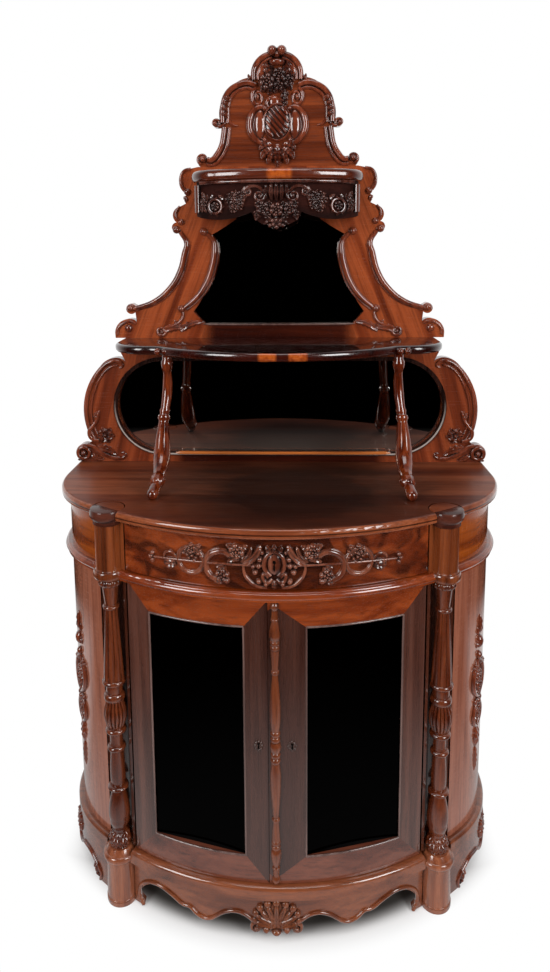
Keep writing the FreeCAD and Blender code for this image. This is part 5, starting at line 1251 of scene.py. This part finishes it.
# Stage: a pale floor, a white room that is dark on the photographer's side, and soft lamps. The floor is
# painted dark under the cabinet, a painted shadow, and what shines on the cabinet sees it pale beside and
# behind.

scene = bpy.context.scene
scene.view_settings.view_transform = "Standard"
disc = bmesh.new()
bmesh.ops.create_circle(disc, cap_ends=True, radius=3.0, segments=96)
floor_mesh = bpy.data.meshes.new("floor")
disc.to_mesh(floor_mesh)
disc.free()
floor = bpy.data.objects.new("floor", floor_mesh)
scene.collection.objects.link(floor)


def sees(room):
    """Whether a ray comes from the camera, or by way of a gloss or a glass."""
    camera = room.node("ShaderNodeLightPath", None, None, "Is Camera Ray")
    gloss = room.node("ShaderNodeLightPath", None, None, "Is Glossy Ray")
    glass = room.node("ShaderNodeLightPath", None, None, "Is Transmission Ray")
    return camera, gloss + glass


pale_floor = new_finish("Pale floor")
camera_ray, gloss_ray = sees(pale_floor)
spot = pale_floor.place()
aside, back = abs(spot.part("X")), spot.part("Y")
away = spot.gap((0, 0, 0))
from_bow = spot.gap((0, BOW_CENTRE, 0))
beyond = aside.fade(0.46, 0.6, 0.0, 1.0, True)
shadow = from_bow.fade(0.66, 0.715, 0.0, 1.0, True)
open_floor = shadow.most(beyond).most(back.fade(0.0, 0.24, 0.0, 1.0, True))
pale = pale_floor.mix(pale_floor.noise(spot, 2.0), (0.86, 0.86, 0.86), (0.9, 0.9, 0.9))
# Painted shadow: the floor's colour is dark under the cabinet.
pale_floor.wear({"Base Color": pale_floor.mix(open_floor, (0.05, 0.045, 0.04), pale), "Roughness": 0.7})
white = pale_floor.node("ShaderNodeEmission", None, {"Color": (1, 1, 1), "Strength": 1.0})
clear = from_bow.fade(0.68, 0.76, 0.0, 1.0, True).most(beyond)
lit = pale_floor.node("ShaderNodeMixShader", None, {
    0: camera_ray * clear, 1: Wire(pale_floor, pale_floor.shader.outputs[0]), 2: white})
near = away.fade(0.5, 1.5, 0.5, 0.0, True)
sheen = (aside.fade(0.55, 0.85, 0.0, 0.7, True) * back.fade(0.0, 0.3, 0.0, 1.0, True)
         * away.fade(2.0, 1.5, 0.0, 1.0, True))
dim = pale_floor.node("ShaderNodeEmission", None, {"Color": near.most(sheen), "Strength": 1.0})
shown = pale_floor.node("ShaderNodeMixShader", None, {0: gloss_ray, 1: lit, 2: dim})
pale_floor.feed(pale_floor.tree.nodes["Material Output"].inputs["Surface"], shown)
floor_mesh.materials.append(pale_floor.owner)

scene.world = bpy.data.worlds.new("Studio")
room = Finish(scene.world, "Background")
camera_ray, gloss_ray = sees(room)
heading = room.node("ShaderNodeTexCoord", None, None, "Generated").part("Y")
behind_camera = heading.fade(-0.3, 0.6, 0.0, 0.95, True)
soft = gloss_ray * behind_camera + (1 - gloss_ray) * 0.34
room.wear({"Color": camera_ray + (1 - camera_ray) * soft, "Strength": 1.0})


def softbox(name, place, target, width, height, power):
    """A soft lamp that faces a point."""
    lamp = bpy.data.lights.new(name, "AREA")
    lamp.shape = "RECTANGLE"
    lamp.size = width
    lamp.size_y = height
    lamp.energy = power
    holder = bpy.data.objects.new(name, lamp)
    holder.location = place
    holder.rotation_euler = (Vector(target) - Vector(place)).to_track_quat("-Z", "Y").to_euler()
    scene.collection.objects.link(holder)


softbox("lamp_left", (-2.6, -2.8, 2.4), (0, 0, 1.0), 1.3, 2.2, 90)
softbox("lamp_right", (2.6, -2.8, 2.4), (0, 0, 1.0), 1.3, 2.2, 104)
softbox("lamp_over", (0, -1.2, 4.4), (0, 0, 1.0), 2.0, 1.0, 25)

camera_data = bpy.data.cameras.new("photo")
camera_data.lens = 26.543
camera_data.shift_y = -0.1406
camera = bpy.data.objects.new("photo", camera_data)
camera.location = (0.0506, -1.715, 1.624)
camera.rotation_euler = (Matrix.Rotation(math.radians(1.786), 4, "Z")
                         @ Matrix.Rotation(math.radians(90 - 8.233), 4, "X")
                         @ Matrix.Rotation(math.radians(-0.36), 4, "Z")).to_euler()
scene.collection.objects.link(camera)
scene.camera = camera

bpy.context.view_layer.update()
